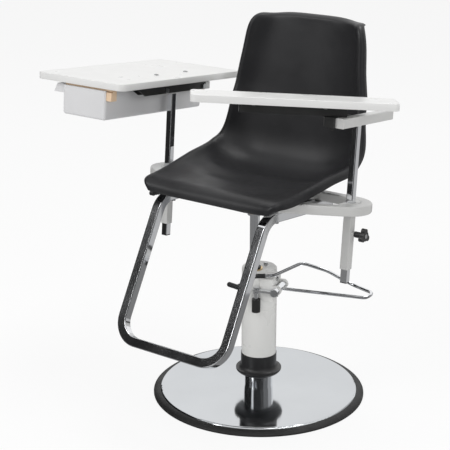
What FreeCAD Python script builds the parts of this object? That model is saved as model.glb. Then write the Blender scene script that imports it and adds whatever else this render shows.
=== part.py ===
import FreeCAD, Part
import math
import os

# A height-adjustable phlebotomy chair: a round floor base, a hydraulic lift, a moulded seat on a
# tube frame with a footrest, a swinging arm board on the right and a table with a drawer on the
# left. Lengths are in millimetres and angles in degrees. The floor is z = 0, the column stands on
# the Z axis, the sitter faces -Y, and +X is on the right of a person who looks at the sitter.
# Everything above the ram leans back as one piece. It is drawn upright first and leaned after.

V = FreeCAD.Vector
X_WAY = V(1, 0, 0)
Y_WAY = V(0, 1, 0)
Z_WAY = V(0, 0, 1)

# Fits shared by all the pieces
run_gap = 0.05           # radial gap of a shaft that turns or slides in its bore
slide_gap = 0.2          # gap between flat faces that slide on each other
cut_over = 2.0           # overrun of every cut past the face that it leaves
weld_in = 1.0            # how far welded pieces run into each other
tiny = 1e-6              # what counts as nothing in a comparison

# Floor base
base_radius = 300.0
rim_cover = 20.0         # from the rubber's outer edge in to the plate's edge
rim_width = 38.0
rim_gap = 0.3
rim_edge = 3.0           # height of the rubber's outer edge
rim_sag = 1.6            # how far the sloping top of the rubber is bowed out
rim_groove = 4.0         # room below the plate's curled edge
rim_over = 0.6           # how far the rubber stands above the plate's edge
plate_radius = base_radius - rim_cover
plate_top = 16.0
plate_round = 8.0
plate_curl_deg = 60.0
plate_thickness = 2.5
plate_hole_radius = 15.0
ballast_inset = 45.0
ballast_radius = plate_radius - ballast_inset
ballast_thickness = 9.0
ballast_chamfer = 3.0
base_bolt_circle = 26.0
base_bolt_radius = 4.0
base_bolt_head_radius = 7.0
base_bolt_head_height = 4.0
base_bolt_depth = 9.0
base_bolt_count = 6
foot_pad_radius = 45.0

# Riser tube and collar
riser_radius = 40.0
riser_wall = 4.0
riser_floor = 12.0
pump_seat = 104.0
collar_bottom = 57.0
collar_top = 118.0
collar_foot_radius = 42.0
collar_bowl_sag = 4.0    # how far the underside is bowed out
collar_lip_bottom = 67.0
collar_lip_top = 72.0
collar_flare_radius = 64.3
collar_neck_radius = 50.5
collar_web_bottom = 104.0

# Hydraulic pump
pump_radius = 49.0
pump_wall = 4.0
pump_floor = 6.0
pump_plug_length = 12.0
pump_seam = 260.0
pump_top = 375.0
pump_head_thickness = 16.0
pump_head_round = 4.0
cylinder_bore_radius = 17.0
cylinder_wall = 3.5
ram_y = -24.0            # the ram stands this far off the column's axis
ram_radius = 13.5
piston_length = 25.0
piston_rest = 6.0        # the piston's height above the pump's floor with the seat at its lowest
gland_radius = 19.0
gland_flange = 3.5
gland_flange_height = 3.0
wiper_height = 4.0
wiper_wall = 4.5

# Swivel on top of the ram
shoulder_radius = 20.0
shoulder_height = 6.0
shoulder_top = 538.0
thrust_radius = 21.0
thrust_height = 3.0
hub_radius = 23.0
hub_top = 596.0
top_washer_radius = 19.0
top_washer_height = 2.0
top_bolt_size = 17.0
top_bolt_height = 6.0
top_bolt_radius = 5.0
top_bolt_depth = 25.0

# Lean of the seat, about an X axis at this height
lean_deg = 5.0
lean_level = 400.0

# Footrest frame of square tube
tube_size = 25.4
tube_wall = 1.6
tube_corner = 3.0
foot_half_width = 169.5
foot_level = 578.9
foot_rear = 66.0
foot_front = -232.0      # where the level run and the sloping run would meet
foot_bar_level = 220.0
foot_slope_deg = 24.0
foot_bend_radius = 58.0
foot_corner_radius = 62.0
foot_splice = 150.0      # from the lower corner up to where the side runs begin
plug_depth = 14.0
plug_head = 2.5
plug_gap = 0.1

# Carrier between the footrest's side runs
cross_front = -104.0
cross_rear = 50.0
carrier_half_width = 75.0
carrier_margin = 8.0
carrier_thickness = 6.0
carrier_bolt_x = 55.0
frame_bolt_radius = 4.0
frame_bolt_size = 13.0
frame_head_height = 5.0
frame_nut_height = 6.0

# Side hoops that carry the post sleeves
hoop_width = 32.0
hoop_height = 25.4
hoop_corner = 5.0
hoop_wall = 2.0
hoop_radius = 60.0
hoop_centre_x = 276.0
hoop_centre_y = -36.0
hoop_slant_deg = 35.0
hoop_inner_x = 122.0
hoop_web_left = 288.0
hoop_web_thickness = 5.0
seat_bolt_x = 140.0
seat_bolt_depth = 9.0
boss_radius = 14.0

# Post sleeves and posts
post_x = 302.0
post_y = -42.0
post_size = 19.0
post_wall = 1.6
post_corner = 2.5
post_gap = 0.3
sleeve_size = 24.0
sleeve_corner = 3.0
right_sleeve_bottom = 440.0
left_sleeve_bottom = 450.0
right_post_bottom = 405.0
right_post_top = 819.5
left_post_bottom = 417.0
left_post_top = 826.0

# Clamp screws with lobed knobs
clamp_level = 537.0
clamp_screw_radius = 4.0
clamp_nut_size = 13.0
clamp_nut_length = 7.0
knob_stem_start = 323.0
knob_head_start = 343.0
knob_end = 355.0
knob_stem_radius = 8.0
knob_core_radius = 13.0
knob_lobe_radius = 7.5
knob_lobe_circle = 12.5
knob_lobe_count = 3

# Arm tube and pivot block on the right post
arm_tube_front = -122.0
arm_tube_rear = 119.0
cap_head = 3.0
pivot_x = 270.0
pivot_y = -113.0
block_front = -133.0
block_rear = -93.0
block_tip = -48.0
block_left = 253.0
block_corner = 8.0
pivot_bolt_radius = 5.0
pivot_head_radius = 9.0
pivot_head_height = 5.0
pivot_nut_size = 15.0
pivot_nut_height = 8.0
pivot_washer_radius = 16.0
pivot_washer_height = 1.4

# Arm rail and board, drawn straight across the lap and then turned
arm_angle_deg = 38.2
rail_size = 25.4
rail_wall = 2.0
rail_corner = 2.5
rail_front_reach = 232.0
rail_rear_reach = 34.0
tab_length = 32.0
tab_half_width = 36.0
tab_thickness = 3.0
tab_near = 20.0
tab_far = 200.0
tab_screw_y = 26.0
board_front_reach = 357.0
board_rear_reach = 162.0
board_width = 98.0
board_thickness = 19.0
board_corner = 14.0
board_edge_round = 2.0
wood_screw_radius = 2.2
wood_head_radius = 4.5
wood_head_height = 2.0
wood_head_gap = 0.3      # room round a sunk head
wood_screw_depth = 12.0

# Left table
table_tube_size = 22.0
table_tube_half_length = 115.0
table_tube_wall = 2.0
bracket_wall = 3.0
bracket_depth = 22.0
bracket_front = -205.0
bracket_rear = 95.0
bracket_left = -372.0
bracket_bolt_inset = 31.0
bracket_bolt_y = table_tube_half_length - bracket_bolt_inset
bracket_taper = 30.0     # length over which the front of the sides tapers
bracket_tip = 3.0        # height of the sides' front end
table_left = -591.0
table_right = -278.0
table_front = -285.0
table_rear = 252.0
table_thickness = 19.0
table_corner = 22.0
table_screw_x = -353.0
table_screw_front = -51.0
table_screw_rear = 80.0
table_screw_radius = 2.5
table_screw_head_radius = 6.5
table_screw_head_height = 2.6
table_nut_size = 9.0
table_nut_height = 4.0

# Drawer and its wooden runners
drawer_left = -500.0
drawer_right = -345.0
drawer_front = -275.0
drawer_rear = 150.0
drawer_floor = 763.0
drawer_drop = 7.0        # from the table's underside to the drawer's top edge
drawer_wall = 3.0
drawer_round = 8.0
notch_gap = 1.0          # room round a runner where it passes through the drawer's wall
flange_reach = 9.5
flange_thickness = 3.0
pull_reach = 28.0        # the finger pull's top, out from the drawer's wall
pull_slant = 12.0
pull_height = 24.0
pull_wall = 3.5
runner_gap = 3.0         # from the drawer's wall to the runner
runner_end_gap = 2.0
runner_width = 22.0
runner_height = 34.0
runner_right = -328.0
runner_groove = 7.0
runner_screw_inset = 30.0

# Moulded seat shell
shell_thickness = 5.0
shell_front = -262.0
shell_lip_radius = 34.0
shell_pan_level = 627.0
shell_bend_radius = 92.0
shell_back_y = 136.0     # where the pan's and the back's centre lines would meet
shell_back_lean_deg = 7.0
shell_back_top = 1046.0
shell_top_radius = 20.0
shell_top_turn_deg = 130.0
shell_front_level = 590.0
shell_front_reach = 60.0
shell_front_arch = 2500.0  # radius of the lip's lower edge, which rises to both sides
wing_power = 4.0
rim_passes = 6           # how often the rim's place is refined
cross_shares = (0.0, 0.22, 0.42, 0.58, 0.71, 0.81, 0.89, 0.95, 1.0)
roll_shares = (0.25, 0.5, 0.75, 1.0)

# Cross-sections of the shell from the front lip to the top lip: the stretch and how far along it
# the section lies as a share, then half the width, the height of the raised side, the radius of
# the rolled edge and the length of the skirt below the roll
shell_stations = (
    ("lip", 0.0, 192.0, 6.0, 10.0, 4.0),
    ("lip", 0.29, 207.0, 8.0, 11.0, 5.0),
    ("lip", 0.57, 219.0, 8.5, 12.0, 6.0),
    ("pan", 0.0, 224.5, 6.5, 13.0, 7.0),
    ("pan", 0.12, 227.5, 11.0, 13.0, 9.0),
    ("pan", 0.27, 230.0, 18.5, 13.0, 10.0),
    ("pan", 0.45, 233.5, 29.0, 13.0, 10.0),
    ("pan", 0.68, 238.0, 42.5, 13.0, 10.0),
    ("pan", 0.88, 242.0, 51.0, 13.0, 10.0),
    ("bend", 0.15, 244.0, 59.0, 13.0, 9.0),
    ("bend", 0.55, 242.0, 58.0, 13.0, 8.0),
    ("back", 0.0, 237.5, 42.0, 13.0, 8.0),
    ("back", 0.16, 228.0, 33.0, 13.0, 8.0),
    ("back", 0.36, 218.5, 32.5, 13.0, 8.0),
    ("back", 0.58, 207.5, 34.0, 13.0, 8.0),
    ("back", 0.8, 197.5, 36.0, 13.0, 7.0),
    ("back", 0.93, 188.5, 36.0, 12.0, 6.0),
    ("back", 1.0, 176.0, 26.0, 11.0, 4.0),
    ("top", 0.33, 161.0, -6.0, 8.0, 1.0),
    ("top", 0.66, 149.0, -13.5, 6.5, 0.5),
    ("top", 1.0, 143.0, -13.5, 6.0, 0.5),
)

# Pump pedal and linkage, drawn with the pedal along +X and then turned about the column
pedal_angle_deg = 15.6
pedal_level = 326.0
pedal_shaft_x = 66.0
pedal_shaft_radius = 6.0
pedal_shaft_head = 3.0
pedal_hub_radius = 10.0
pedal_rod_radius = 4.8
pedal_points = (
    (66.0, -22.0, 326.0),
    (312.0, -21.0, 331.0),
    (326.0, 8.0, 336.0),
    (252.0, 50.5, 337.0),
    (188.0, 35.0, 373.0),
    (118.0, 18.0, 394.0),
    (60.0, -50.0, 372.0),
    (8.0, -60.0, 366.0),
)
pedal_radii = (14.0, 17.0, 60.0, 120.0, 40.0, 25.0)
lug_rear = 20.0
lug_front = -49.0
lug_thickness = 10.0
lug_radius = 13.0
lug_root = 18.0
yoke_width = 7.0
yoke_half_height = 32.0
yoke_bolt_rise = 24.0
yoke_bolt_y = -14.0
yoke_bolt_radius = 3.0
yoke_bolt_size = 10.0
yoke_bolt_head = 4.0
plunger_x = 11.7
plunger_y = -58.3
rocker_half_width = 9.0
rocker_thickness = 6.0
rocker_hub_radius = 11.0
rocker_nose = 8.0
rocker_slot_gap = 0.6
plunger_neck_radius = 4.0
plunger_head_radius = 9.0
plunger_head_height = 4.0
plunger_play = 2.3       # room above and below the rocker, which tilts in the groove
plunger_radius = 6.0
plunger_bottom = 276.0
barrel_radius = 12.0
barrel_bottom = 262.0
barrel_top = 300.0
barrel_bore_bottom = 270.0
barrel_pad_half = 6.0

# Release lever on the front of the pump
release_angle_deg = -7.0
release_level = 341.0
release_boss_radius = 10.0
release_boss_end = 58.0
release_rod_radius = 3.5
release_rod_start = 51.0
release_bar_at = 98.0
release_bar_radius = 7.0
release_bar_length = 44.0


def block(x0, x1, y0, y1, z0, z1):
    """A block between two corners."""
    return Part.makeBox(x1 - x0, y1 - y0, z1 - z0, V(x0, y0, z0))


def bar(radius, start, end):
    """A round bar from one point to another."""
    axis = end - start
    return Part.makeCylinder(radius, axis.Length, start, axis)


def upright(radius, z0, z1, x=0.0, y=0.0):
    """A round bar along Z."""
    return Part.makeCylinder(radius, z1 - z0, V(x, y, z0))


def pipe(outer, inner, z0, z1, x=0.0, y=0.0):
    """A round tube along Z."""
    return upright(outer, z0, z1, x, y).cut(upright(inner, z0 - cut_over, z1 + cut_over, x, y))


def turned(profile):
    """A piece turned about the column: a closed outline of radius and height pairs. A third value
    bows the side that ends there to the right of its way, by that much at its middle."""
    edges = []
    start = profile[-1]
    for corner in profile:
        first = V(start[0], 0, start[1])
        last = V(corner[0], 0, corner[1])
        if len(corner) > 2:
            way = (last - first).normalize()
            middle = (first + last) / 2 + V(way.z, 0, -way.x) * corner[2]
            edges.append(Part.Arc(first, middle, last).toShape())
        else:
            edges.append(Part.LineSegment(first, last).toShape())
        start = corner
    return Part.Face(Part.Wire(edges)).revolve(V(0, 0, 0), Z_WAY, 360)


def arc_sag(radius, angle):
    """How far an arc of this radius and angle stands out from its chord."""
    return radius * (1 - math.cos(angle / 2))


def prism(outline, way):
    """A flat outline pulled along a vector."""
    return Part.Face(Part.makePolygon(outline + outline[:1])).extrude(way)


def joined(first, *others):
    """One solid made of several that overlap."""
    return first.multiFuse(list(others)).removeSplitter()


def rounded(shape, radius, wanted):
    """Round the edges that the test picks by their direction and middle point."""
    picked = []
    for edge in shape.Edges:
        middle = edge.valueAt((edge.FirstParameter + edge.LastParameter) / 2)
        way = edge.tangentAt(edge.FirstParameter)
        if wanted(way, middle):
            picked.append(edge)
    return shape.makeFillet(radius, picked)


def is_upright(way, middle):
    """Whether an edge runs along Z."""
    return abs(way.z) > 1 - tiny


def slab(x0, x1, y0, y1, z0, z1, corner, edge_round):
    """A board with rounded corners and softened edges."""
    def is_level(way, middle):
        return abs(way.z) < tiny

    return rounded(rounded(block(x0, x1, y0, y1, z0, z1), corner, is_upright), edge_round, is_level)


def square_bar(size, corner, x, y, z0, z1):
    """An upright square bar with rounded corners."""
    half = size / 2
    return rounded(block(x - half, x + half, y - half, y + half, z0, z1), corner, is_upright)


def square_tube(size, wall, corner, x, y, z0, z1):
    """An upright square tube."""
    outer = square_bar(size, corner, x, y, z0, z1)
    inner = square_bar(size - 2 * wall, corner - wall / 2, x, y, z0 - cut_over, z1 + cut_over)
    return outer.cut(inner)


def laid(shape, x, y, z, way):
    """A piece drawn upright on the origin, laid down along another direction."""
    moved = shape.copy()
    turn = FreeCAD.Rotation(Z_WAY, way)
    moved.Placement = FreeCAD.Placement(V(x, y, z), turn)
    return moved


def hexagon(size, start, way, height):
    """A six-sided nut or bolt head, its size taken across the flats."""
    reach = size / math.sqrt(3)
    points = []
    for corner in range(6):
        angle = math.radians(60 * corner)
        points.append(V(reach * math.cos(angle), reach * math.sin(angle), 0))
    return laid(prism(points, Z_WAY * height), start.x, start.y, start.z, way)


def hex_bolt(radius, size, head, start, way, length):
    """A hex bolt: its head lies behind the start point and its shank runs along the way."""
    return joined(hexagon(size, start - way * head, way, head),
                  bar(radius, start - way * weld_in, start + way * length))


def pan_screw(radius, head_radius, head, start, way, length):
    """A round-headed screw: its head lies behind the start point."""
    return joined(bar(head_radius, start - way * head, start),
                  bar(radius, start - way * weld_in, start + way * length))


def leaned(shape):
    """The seat's lean, about the X axis at the lean level."""
    moved = shape.copy()
    moved.rotate(V(0, 0, lean_level), X_WAY, -lean_deg)
    return moved


def mirrored(shape):
    """The same piece on the other side of the chair."""
    return shape.mirror(V(0, 0, 0), X_WAY)


def swung(shape):
    """The arm's angle in the photographed pose, about its pivot."""
    moved = shape.copy()
    moved.rotate(V(pivot_x, pivot_y, 0), Z_WAY, arm_angle_deg)
    return moved


def toward_pedal(shape):
    """The pedal's direction around the column."""
    moved = shape.copy()
    moved.rotate(V(0, 0, 0), Z_WAY, pedal_angle_deg)
    return moved


def bent_path(points, radii):
    """Straight runs through the points, joined by tangent arcs."""
    edges = []
    start = points[0]
    for i, radius in enumerate(radii):
        corner = points[i + 1]
        before = (points[i] - corner).normalize()
        after = (points[i + 2] - corner).normalize()
        half_turn = (math.pi - before.getAngle(after)) / 2
        setback = radius * math.tan(half_turn)
        first = corner + before * setback
        last = corner + after * setback
        inward = (before + after).normalize()
        middle = corner + inward * (radius / math.cos(half_turn) - radius)
        edges.append(Part.LineSegment(start, first).toShape())
        edges.append(Part.Arc(first, middle, last).toShape())
        start = last
    edges.append(Part.LineSegment(start, points[-1]).toShape())
    return Part.Wire(edges)


def section(centre, across, along, width, height, corner):
    """A rounded rectangle in the plane of two unit vectors."""
    edges = []
    reach = corner * math.sqrt(0.5)
    corners = []
    for a, b in ((1, 1), (-1, 1), (-1, -1), (1, -1)):
        hub = centre + across * (a * (width / 2 - corner)) + along * (b * (height / 2 - corner))
        side = hub + across * (a * corner)
        end = hub + along * (b * corner)
        middle = hub + across * (a * reach) + along * (b * reach)
        if a * b > 0:
            corners.append((side, middle, end))
        else:
            corners.append((end, middle, side))
    for i, (first, middle, last) in enumerate(corners):
        edges.append(Part.Arc(first, middle, last).toShape())
        edges.append(Part.LineSegment(last, corners[(i + 1) % len(corners)][0]).toShape())
    return Part.Wire(edges)


def bent_bar(points, radii, side, width, height, corner):
    """A rectangular bar bent in one plane. The side is the unit vector out of that plane."""
    path = bent_path(points, radii)
    across = side.cross((points[1] - points[0]).normalize())
    outline = section(points[0], across, side, width, height, corner)
    return path.makePipeShell([outline], True, False)


def plate_curl():
    """The plate's curled edge: the angle, and the radius and height of the curl's centre."""
    angle = math.radians(plate_curl_deg)
    return angle, plate_radius - plate_round * math.sin(angle), plate_top - plate_round


def base_rim():
    """The rubber ring round the base, which holds the plate's edge, and the pad under the middle."""
    angle, hub_r, hub_z = plate_curl()
    inner = base_radius - rim_width
    under = plate_top - plate_thickness
    edge = hub_z + plate_round * math.cos(angle)
    floor = edge - plate_thickness - rim_groove
    mouth = plate_radius + rim_gap
    ring = turned([(inner, 0), (base_radius, 0), (base_radius, rim_edge), (mouth, edge + rim_over, rim_sag),
                   (mouth, floor), (hub_r, floor), (hub_r, under), (inner, under)])
    pad = upright(foot_pad_radius, 0, under - ballast_thickness)
    return Part.makeCompound([ring, pad])


def bolt_circle(radius, z0, z1):
    """Round bars on the circle of the base bolts."""
    bars = []
    for i in range(base_bolt_count):
        angle = math.radians(360 * i / base_bolt_count)
        bars.append(upright(radius, z0, z1, base_bolt_circle * math.cos(angle),
                            base_bolt_circle * math.sin(angle)))
    return Part.makeCompound(bars)


def base_plate():
    """The bright cover plate with its edge curled down."""
    angle, hub_r, hub_z = plate_curl()
    inner = plate_round - plate_thickness
    under = plate_top - plate_thickness
    disc = turned([
        (plate_hole_radius, under), (hub_r, under),
        (hub_r + inner * math.sin(angle), hub_z + inner * math.cos(angle), -arc_sag(inner, angle)),
        (plate_radius, hub_z + plate_round * math.cos(angle)),
        (hub_r, plate_top, arc_sag(plate_round, angle)), (plate_hole_radius, plate_top)])
    return disc.cut(bolt_circle(base_bolt_radius, under - cut_over, plate_top + cut_over))


def ballast_disc():
    """The heavy disc under the plate, with sunk bolt seats."""
    top = plate_top - plate_thickness
    low = top - ballast_thickness
    disc = turned([(plate_hole_radius, low), (ballast_radius - ballast_chamfer, low),
                   (ballast_radius, low + ballast_chamfer), (ballast_radius, top),
                   (plate_hole_radius, top)])
    disc = disc.cut(bolt_circle(base_bolt_radius, low - cut_over, top + cut_over))
    return disc.cut(bolt_circle(base_bolt_head_radius, low - cut_over, low + base_bolt_head_height))


def base_bolts():
    """Bolts from below that hold disc, plate and riser together."""
    low = plate_top - plate_thickness - ballast_thickness
    heads = bolt_circle(base_bolt_head_radius, low, low + base_bolt_head_height).Solids
    shanks = bolt_circle(base_bolt_radius, low + weld_in, plate_top + base_bolt_depth).Solids
    return Part.makeCompound([joined(head, shank) for head, shank in zip(heads, shanks)])


def riser_tube():
    """The bright tube between the base and the pump, with a thick tapped floor."""
    inner = riser_radius - riser_wall
    tube = turned([(0, plate_top), (riser_radius, plate_top), (riser_radius, pump_seat),
                   (inner, pump_seat), (inner, plate_top + riser_floor), (0, plate_top + riser_floor)])
    return tube.cut(bolt_circle(base_bolt_radius, plate_top - cut_over, plate_top + base_bolt_depth))


def column_collar():
    """The moulded bell-shaped collar over the joint of riser and pump."""
    spigot = pump_radius - pump_wall
    flare = collar_flare_radius - collar_neck_radius
    bow = -arc_sag(flare, math.pi / 2)
    return turned([
        (riser_radius, collar_bottom), (collar_foot_radius, collar_bottom),
        (collar_flare_radius, collar_lip_bottom, collar_bowl_sag), (collar_flare_radius, collar_lip_top),
        (collar_neck_radius, collar_lip_top + flare, bow), (collar_neck_radius, collar_top),
        (spigot, collar_top), (spigot, collar_web_bottom), (riser_radius, collar_web_bottom)])


def pump_lower():
    """The pump's lower housing with its floor and the plug that enters the riser."""
    inner = pump_radius - pump_wall
    floor = collar_top + pump_floor
    plug = riser_radius - riser_wall
    return turned([
        (0, pump_seat - pump_plug_length), (plug, pump_seat - pump_plug_length), (plug, pump_seat),
        (inner, pump_seat), (inner, collar_top), (pump_radius, collar_top),
        (pump_radius, pump_seam), (inner, pump_seam), (inner, floor), (0, floor)])


def release_point(distance):
    """A point out from the column on the release lever's side."""
    angle = math.radians(release_angle_deg)
    return V(distance * math.sin(angle), -distance * math.cos(angle), release_level)


def pump_head():
    """The pump's upper housing, bored for the gland, with the valve boss for the release rod."""
    inner = pump_radius - pump_wall
    under = pump_top - pump_head_thickness
    shell = turned([
        (inner, pump_seam), (pump_radius, pump_seam), (pump_radius, pump_top - pump_head_round),
        (pump_radius - pump_head_round, pump_top), (0, pump_top), (0, under), (inner, under)])
    boss_start = inner + weld_in
    boss = bar(release_boss_radius, release_point(boss_start), release_point(release_boss_end))
    bore = bar(release_rod_radius + run_gap, release_point(boss_start + weld_in),
               release_point(release_boss_end + cut_over))
    mouth = upright(gland_radius, under - cut_over, pump_top + cut_over, 0, ram_y)
    return joined(shell, boss).cut(bore).cut(mouth)


def pump_cylinder():
    """The inner cylinder that the piston slides in."""
    return pipe(cylinder_bore_radius + cylinder_wall, cylinder_bore_radius, collar_top + pump_floor,
                pump_top - pump_head_thickness, 0, ram_y)


def ram_gland():
    """The bush that guides the ram through the pump's head."""
    bush = upright(gland_radius, pump_top - pump_head_thickness, pump_top + gland_flange_height, 0, ram_y)
    flange = upright(gland_radius + gland_flange, pump_top, pump_top + gland_flange_height, 0, ram_y)
    bore = upright(ram_radius + run_gap, pump_top - pump_head_thickness - cut_over,
                   pump_top + gland_flange_height + cut_over, 0, ram_y)
    return joined(bush, flange).cut(bore)


def ram_wiper():
    """The rubber wiper ring on the gland."""
    start = pump_top + gland_flange_height
    return pipe(ram_radius + wiper_wall, ram_radius + run_gap, start, start + wiper_height, 0, ram_y)


def ram_rod():
    """The ram with its piston at the foot and the shoulder under the swivel."""
    foot = collar_top + pump_floor + piston_rest
    top = hub_top + slide_gap
    rod = upright(ram_radius, foot, top, 0, ram_y)
    piston = upright(cylinder_bore_radius - run_gap, foot, foot + piston_length, 0, ram_y)
    shoulder = upright(shoulder_radius, shoulder_top - shoulder_height, shoulder_top, 0, ram_y)
    hole = upright(top_bolt_radius, top - top_bolt_depth, top + cut_over, 0, ram_y)
    return joined(rod, piston, shoulder).cut(hole)


def thrust_washer():
    """The plain bearing ring that the swivel hub turns on."""
    return pipe(thrust_radius, ram_radius, shoulder_top, shoulder_top + thrust_height, 0, ram_y)


def ram_bolt():
    """The bolt and washer that keep the seat on the ram."""
    start = hub_top + slide_gap
    washer = upright(top_washer_radius, start, start + top_washer_height, 0, ram_y)
    head = hexagon(top_bolt_size, V(0, ram_y, start + top_washer_height - weld_in), Z_WAY,
                   top_bolt_height)
    shank = upright(top_bolt_radius, start - top_bolt_depth, start + weld_in, 0, ram_y)
    return joined(washer, head, shank)


def hub_blank():
    """The outside of the swivel hub, which stands upright in the leaned frame."""
    return upright(hub_radius, shoulder_top + thrust_height + slide_gap, hub_top, 0, ram_y)


def swivel_hub():
    """The bored hub that turns on the ram."""
    bore = upright(ram_radius + run_gap, shoulder_top, hub_top + cut_over, 0, ram_y)
    return hub_blank().cut(bore)


def hoop_leg_y(x):
    """The near leg's centre line at a given x."""
    slant = math.radians(hoop_slant_deg)
    tangent_x = hoop_centre_x + hoop_radius * math.sin(slant)
    tangent_y = hoop_centre_y - hoop_radius * math.cos(slant)
    return tangent_y - (tangent_x - x) * math.tan(slant)


def frame_bolt_places():
    """Where the hoops are bolted to the footrest's side runs."""
    far_y = hoop_centre_y + hoop_radius
    near_y = hoop_leg_y(foot_half_width)
    return [(side * foot_half_width, y) for side in (1, -1) for y in (far_y, near_y)]


def seat_bolt_places():
    """Where the shell is bolted to the hoops."""
    far_y = hoop_centre_y + hoop_radius
    near_y = hoop_leg_y(seat_bolt_x)
    return [(side * seat_bolt_x, y) for side in (1, -1) for y in (far_y, near_y)]


def carrier_bolt_places():
    """Where the carrier plate is bolted to the cross rails."""
    return [(side * carrier_bolt_x, y) for side in (1, -1) for y in (cross_front, cross_rear)]


def bolt_holes(places, z0, z1):
    """Upright holes for the frame's bolts."""
    return Part.makeCompound([upright(frame_bolt_radius, z0, z1, x, y) for x, y in places])


def foot_points():
    """The footrest's corner points on the +X side: rear end, bend, splice and lower corner."""
    slope = math.radians(foot_slope_deg)
    drop = foot_level - foot_bar_level
    corner = V(foot_half_width, foot_front - drop * math.tan(slope), foot_bar_level)
    splice = corner + V(0, math.sin(slope), math.cos(slope)) * foot_splice
    return V(foot_half_width, foot_rear, foot_level), V(foot_half_width, foot_front, foot_level), \
        splice, corner


def foot_bars(size, corner_radius):
    """The whole footrest loop as one bar."""
    rear, bend, splice, corner = foot_points()
    side = bent_bar([rear, bend, splice], [foot_bend_radius], X_WAY, size, size, corner_radius)
    other = V(-corner.x, corner.y, corner.z)
    other_splice = V(-splice.x, splice.y, splice.z)
    slope = math.radians(foot_slope_deg)
    out = V(0, math.cos(slope), -math.sin(slope))
    loop = bent_bar([splice, corner, other, other_splice], [foot_corner_radius, foot_corner_radius],
                    out, size, size, corner_radius)
    return joined(side, loop, mirrored(side))


def footrest_frame():
    """The square tube frame: two runs under the seat and the footrest loop."""
    tube = foot_bars(tube_size, tube_corner).cut(
        foot_bars(tube_size - 2 * tube_wall, tube_corner - tube_wall / 2))
    low = foot_level - tube_size
    return tube.cut(bolt_holes(frame_bolt_places(), low, foot_level + tube_size))


def hoop_points():
    """The right hoop's corner points, before its bend is rounded."""
    slant = math.radians(hoop_slant_deg)
    half_turn = (math.pi - slant) / 2
    level = foot_level + (tube_size + hoop_height) / 2
    corner_x = hoop_centre_x + hoop_radius * math.tan(half_turn)
    far_y = hoop_centre_y + hoop_radius
    return [V(hoop_inner_x, far_y, level), V(corner_x, far_y, level),
            V(hoop_inner_x, hoop_leg_y(hoop_inner_x), level)]


def hoop_bar(width, height, corner):
    """The right hoop as a solid bar."""
    return bent_bar(hoop_points(), [hoop_radius], Z_WAY, width, height, corner)


def right_hoop():
    """The bent tube beside the seat, with two webs that hold the sleeve."""
    tube = hoop_bar(hoop_width, hoop_height, hoop_corner).cut(
        hoop_bar(hoop_width - 2 * hoop_wall, hoop_height - 2 * hoop_wall, hoop_corner - hoop_wall))
    low = foot_level + tube_size / 2
    high = low + hoop_height
    reach = hoop_radius - hoop_width / 2 + weld_in
    webs = []
    for start in (low, high - hoop_web_thickness):
        end = start + hoop_web_thickness
        disc = upright(reach, start, end, hoop_centre_x, hoop_centre_y)
        keep = block(hoop_web_left, hoop_centre_x + reach, hoop_centre_y - reach,
                     hoop_centre_y + reach, start, end)
        webs.append(disc.common(keep))
    hoop = joined(tube, *webs)
    hoop = hoop.cut(square_bar(sleeve_size, sleeve_corner, post_x, post_y, low - cut_over, high + cut_over))
    holes = bolt_holes(frame_bolt_places() + seat_bolt_places(), low - cut_over, high + cut_over)
    return hoop.cut(holes)


def square_plug(size, wall, corner, depth, head):
    """A plastic end plug for a square tube, its head at the origin and its body along +Z."""
    inner = size - 2 * (wall + plug_gap)
    body = square_bar(inner, corner - wall / 2, 0, 0, -weld_in, depth)
    return joined(square_bar(size, corner, 0, 0, -head, 0), body)


def oblong_plug(width, height, wall, corner, depth, head):
    """A plastic end plug for the hoop's tube."""
    cover = rounded(block(-width / 2, width / 2, -height / 2, height / 2, -head, 0), corner, is_upright)
    half_w = width / 2 - wall - plug_gap
    half_h = height / 2 - wall - plug_gap
    body = rounded(block(-half_w, half_w, -half_h, half_h, -weld_in, depth), corner - wall, is_upright)
    return joined(cover, body)


def frame_plugs():
    """End plugs of the footrest's rear ends and of the hoops' inner ends."""
    plug = square_plug(tube_size, tube_wall, tube_corner, plug_depth, plug_head)
    side = laid(plug, foot_half_width, foot_rear, foot_level, V(0, -1, 0))
    oblong = oblong_plug(hoop_height, hoop_width, hoop_wall, hoop_corner, plug_depth, plug_head)
    far_start, corner, near_start = hoop_points()
    far = laid(oblong, far_start.x, far_start.y, far_start.z, X_WAY)
    upright_oblong = oblong.copy()
    upright_oblong.rotate(V(0, 0, 0), Y_WAY, 90)
    upright_oblong.rotate(V(0, 0, 0), Z_WAY, hoop_slant_deg)
    upright_oblong.translate(near_start)
    pieces = [side, far, upright_oblong]
    return Part.makeCompound(pieces + [mirrored(piece) for piece in pieces])


def cross_rails():
    """Two square tubes between the footrest's side runs."""
    inner_face = foot_half_width - tube_size / 2
    low = foot_level - tube_size
    tube = square_tube(tube_size, tube_wall, tube_corner, 0, 0, 0, 2 * inner_face)
    holes = bolt_holes(carrier_bolt_places(), low, foot_level + tube_size)
    rails = [laid(tube, -inner_face, y, foot_level, X_WAY).cut(holes) for y in (cross_front, cross_rear)]
    return Part.makeCompound(rails)


def carrier_plate():
    """The plate under the cross rails that is welded round the hub."""
    top = foot_level - tube_size / 2
    margin = tube_size / 2 + carrier_margin
    plate = rounded(block(-carrier_half_width, carrier_half_width, cross_front - margin,
                          cross_rear + margin, top - carrier_thickness, top), carrier_margin, is_upright)
    plate = plate.cut(bolt_holes(carrier_bolt_places(), top - carrier_thickness - cut_over, top + cut_over))
    return leaned(plate).cut(hub_blank())


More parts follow.
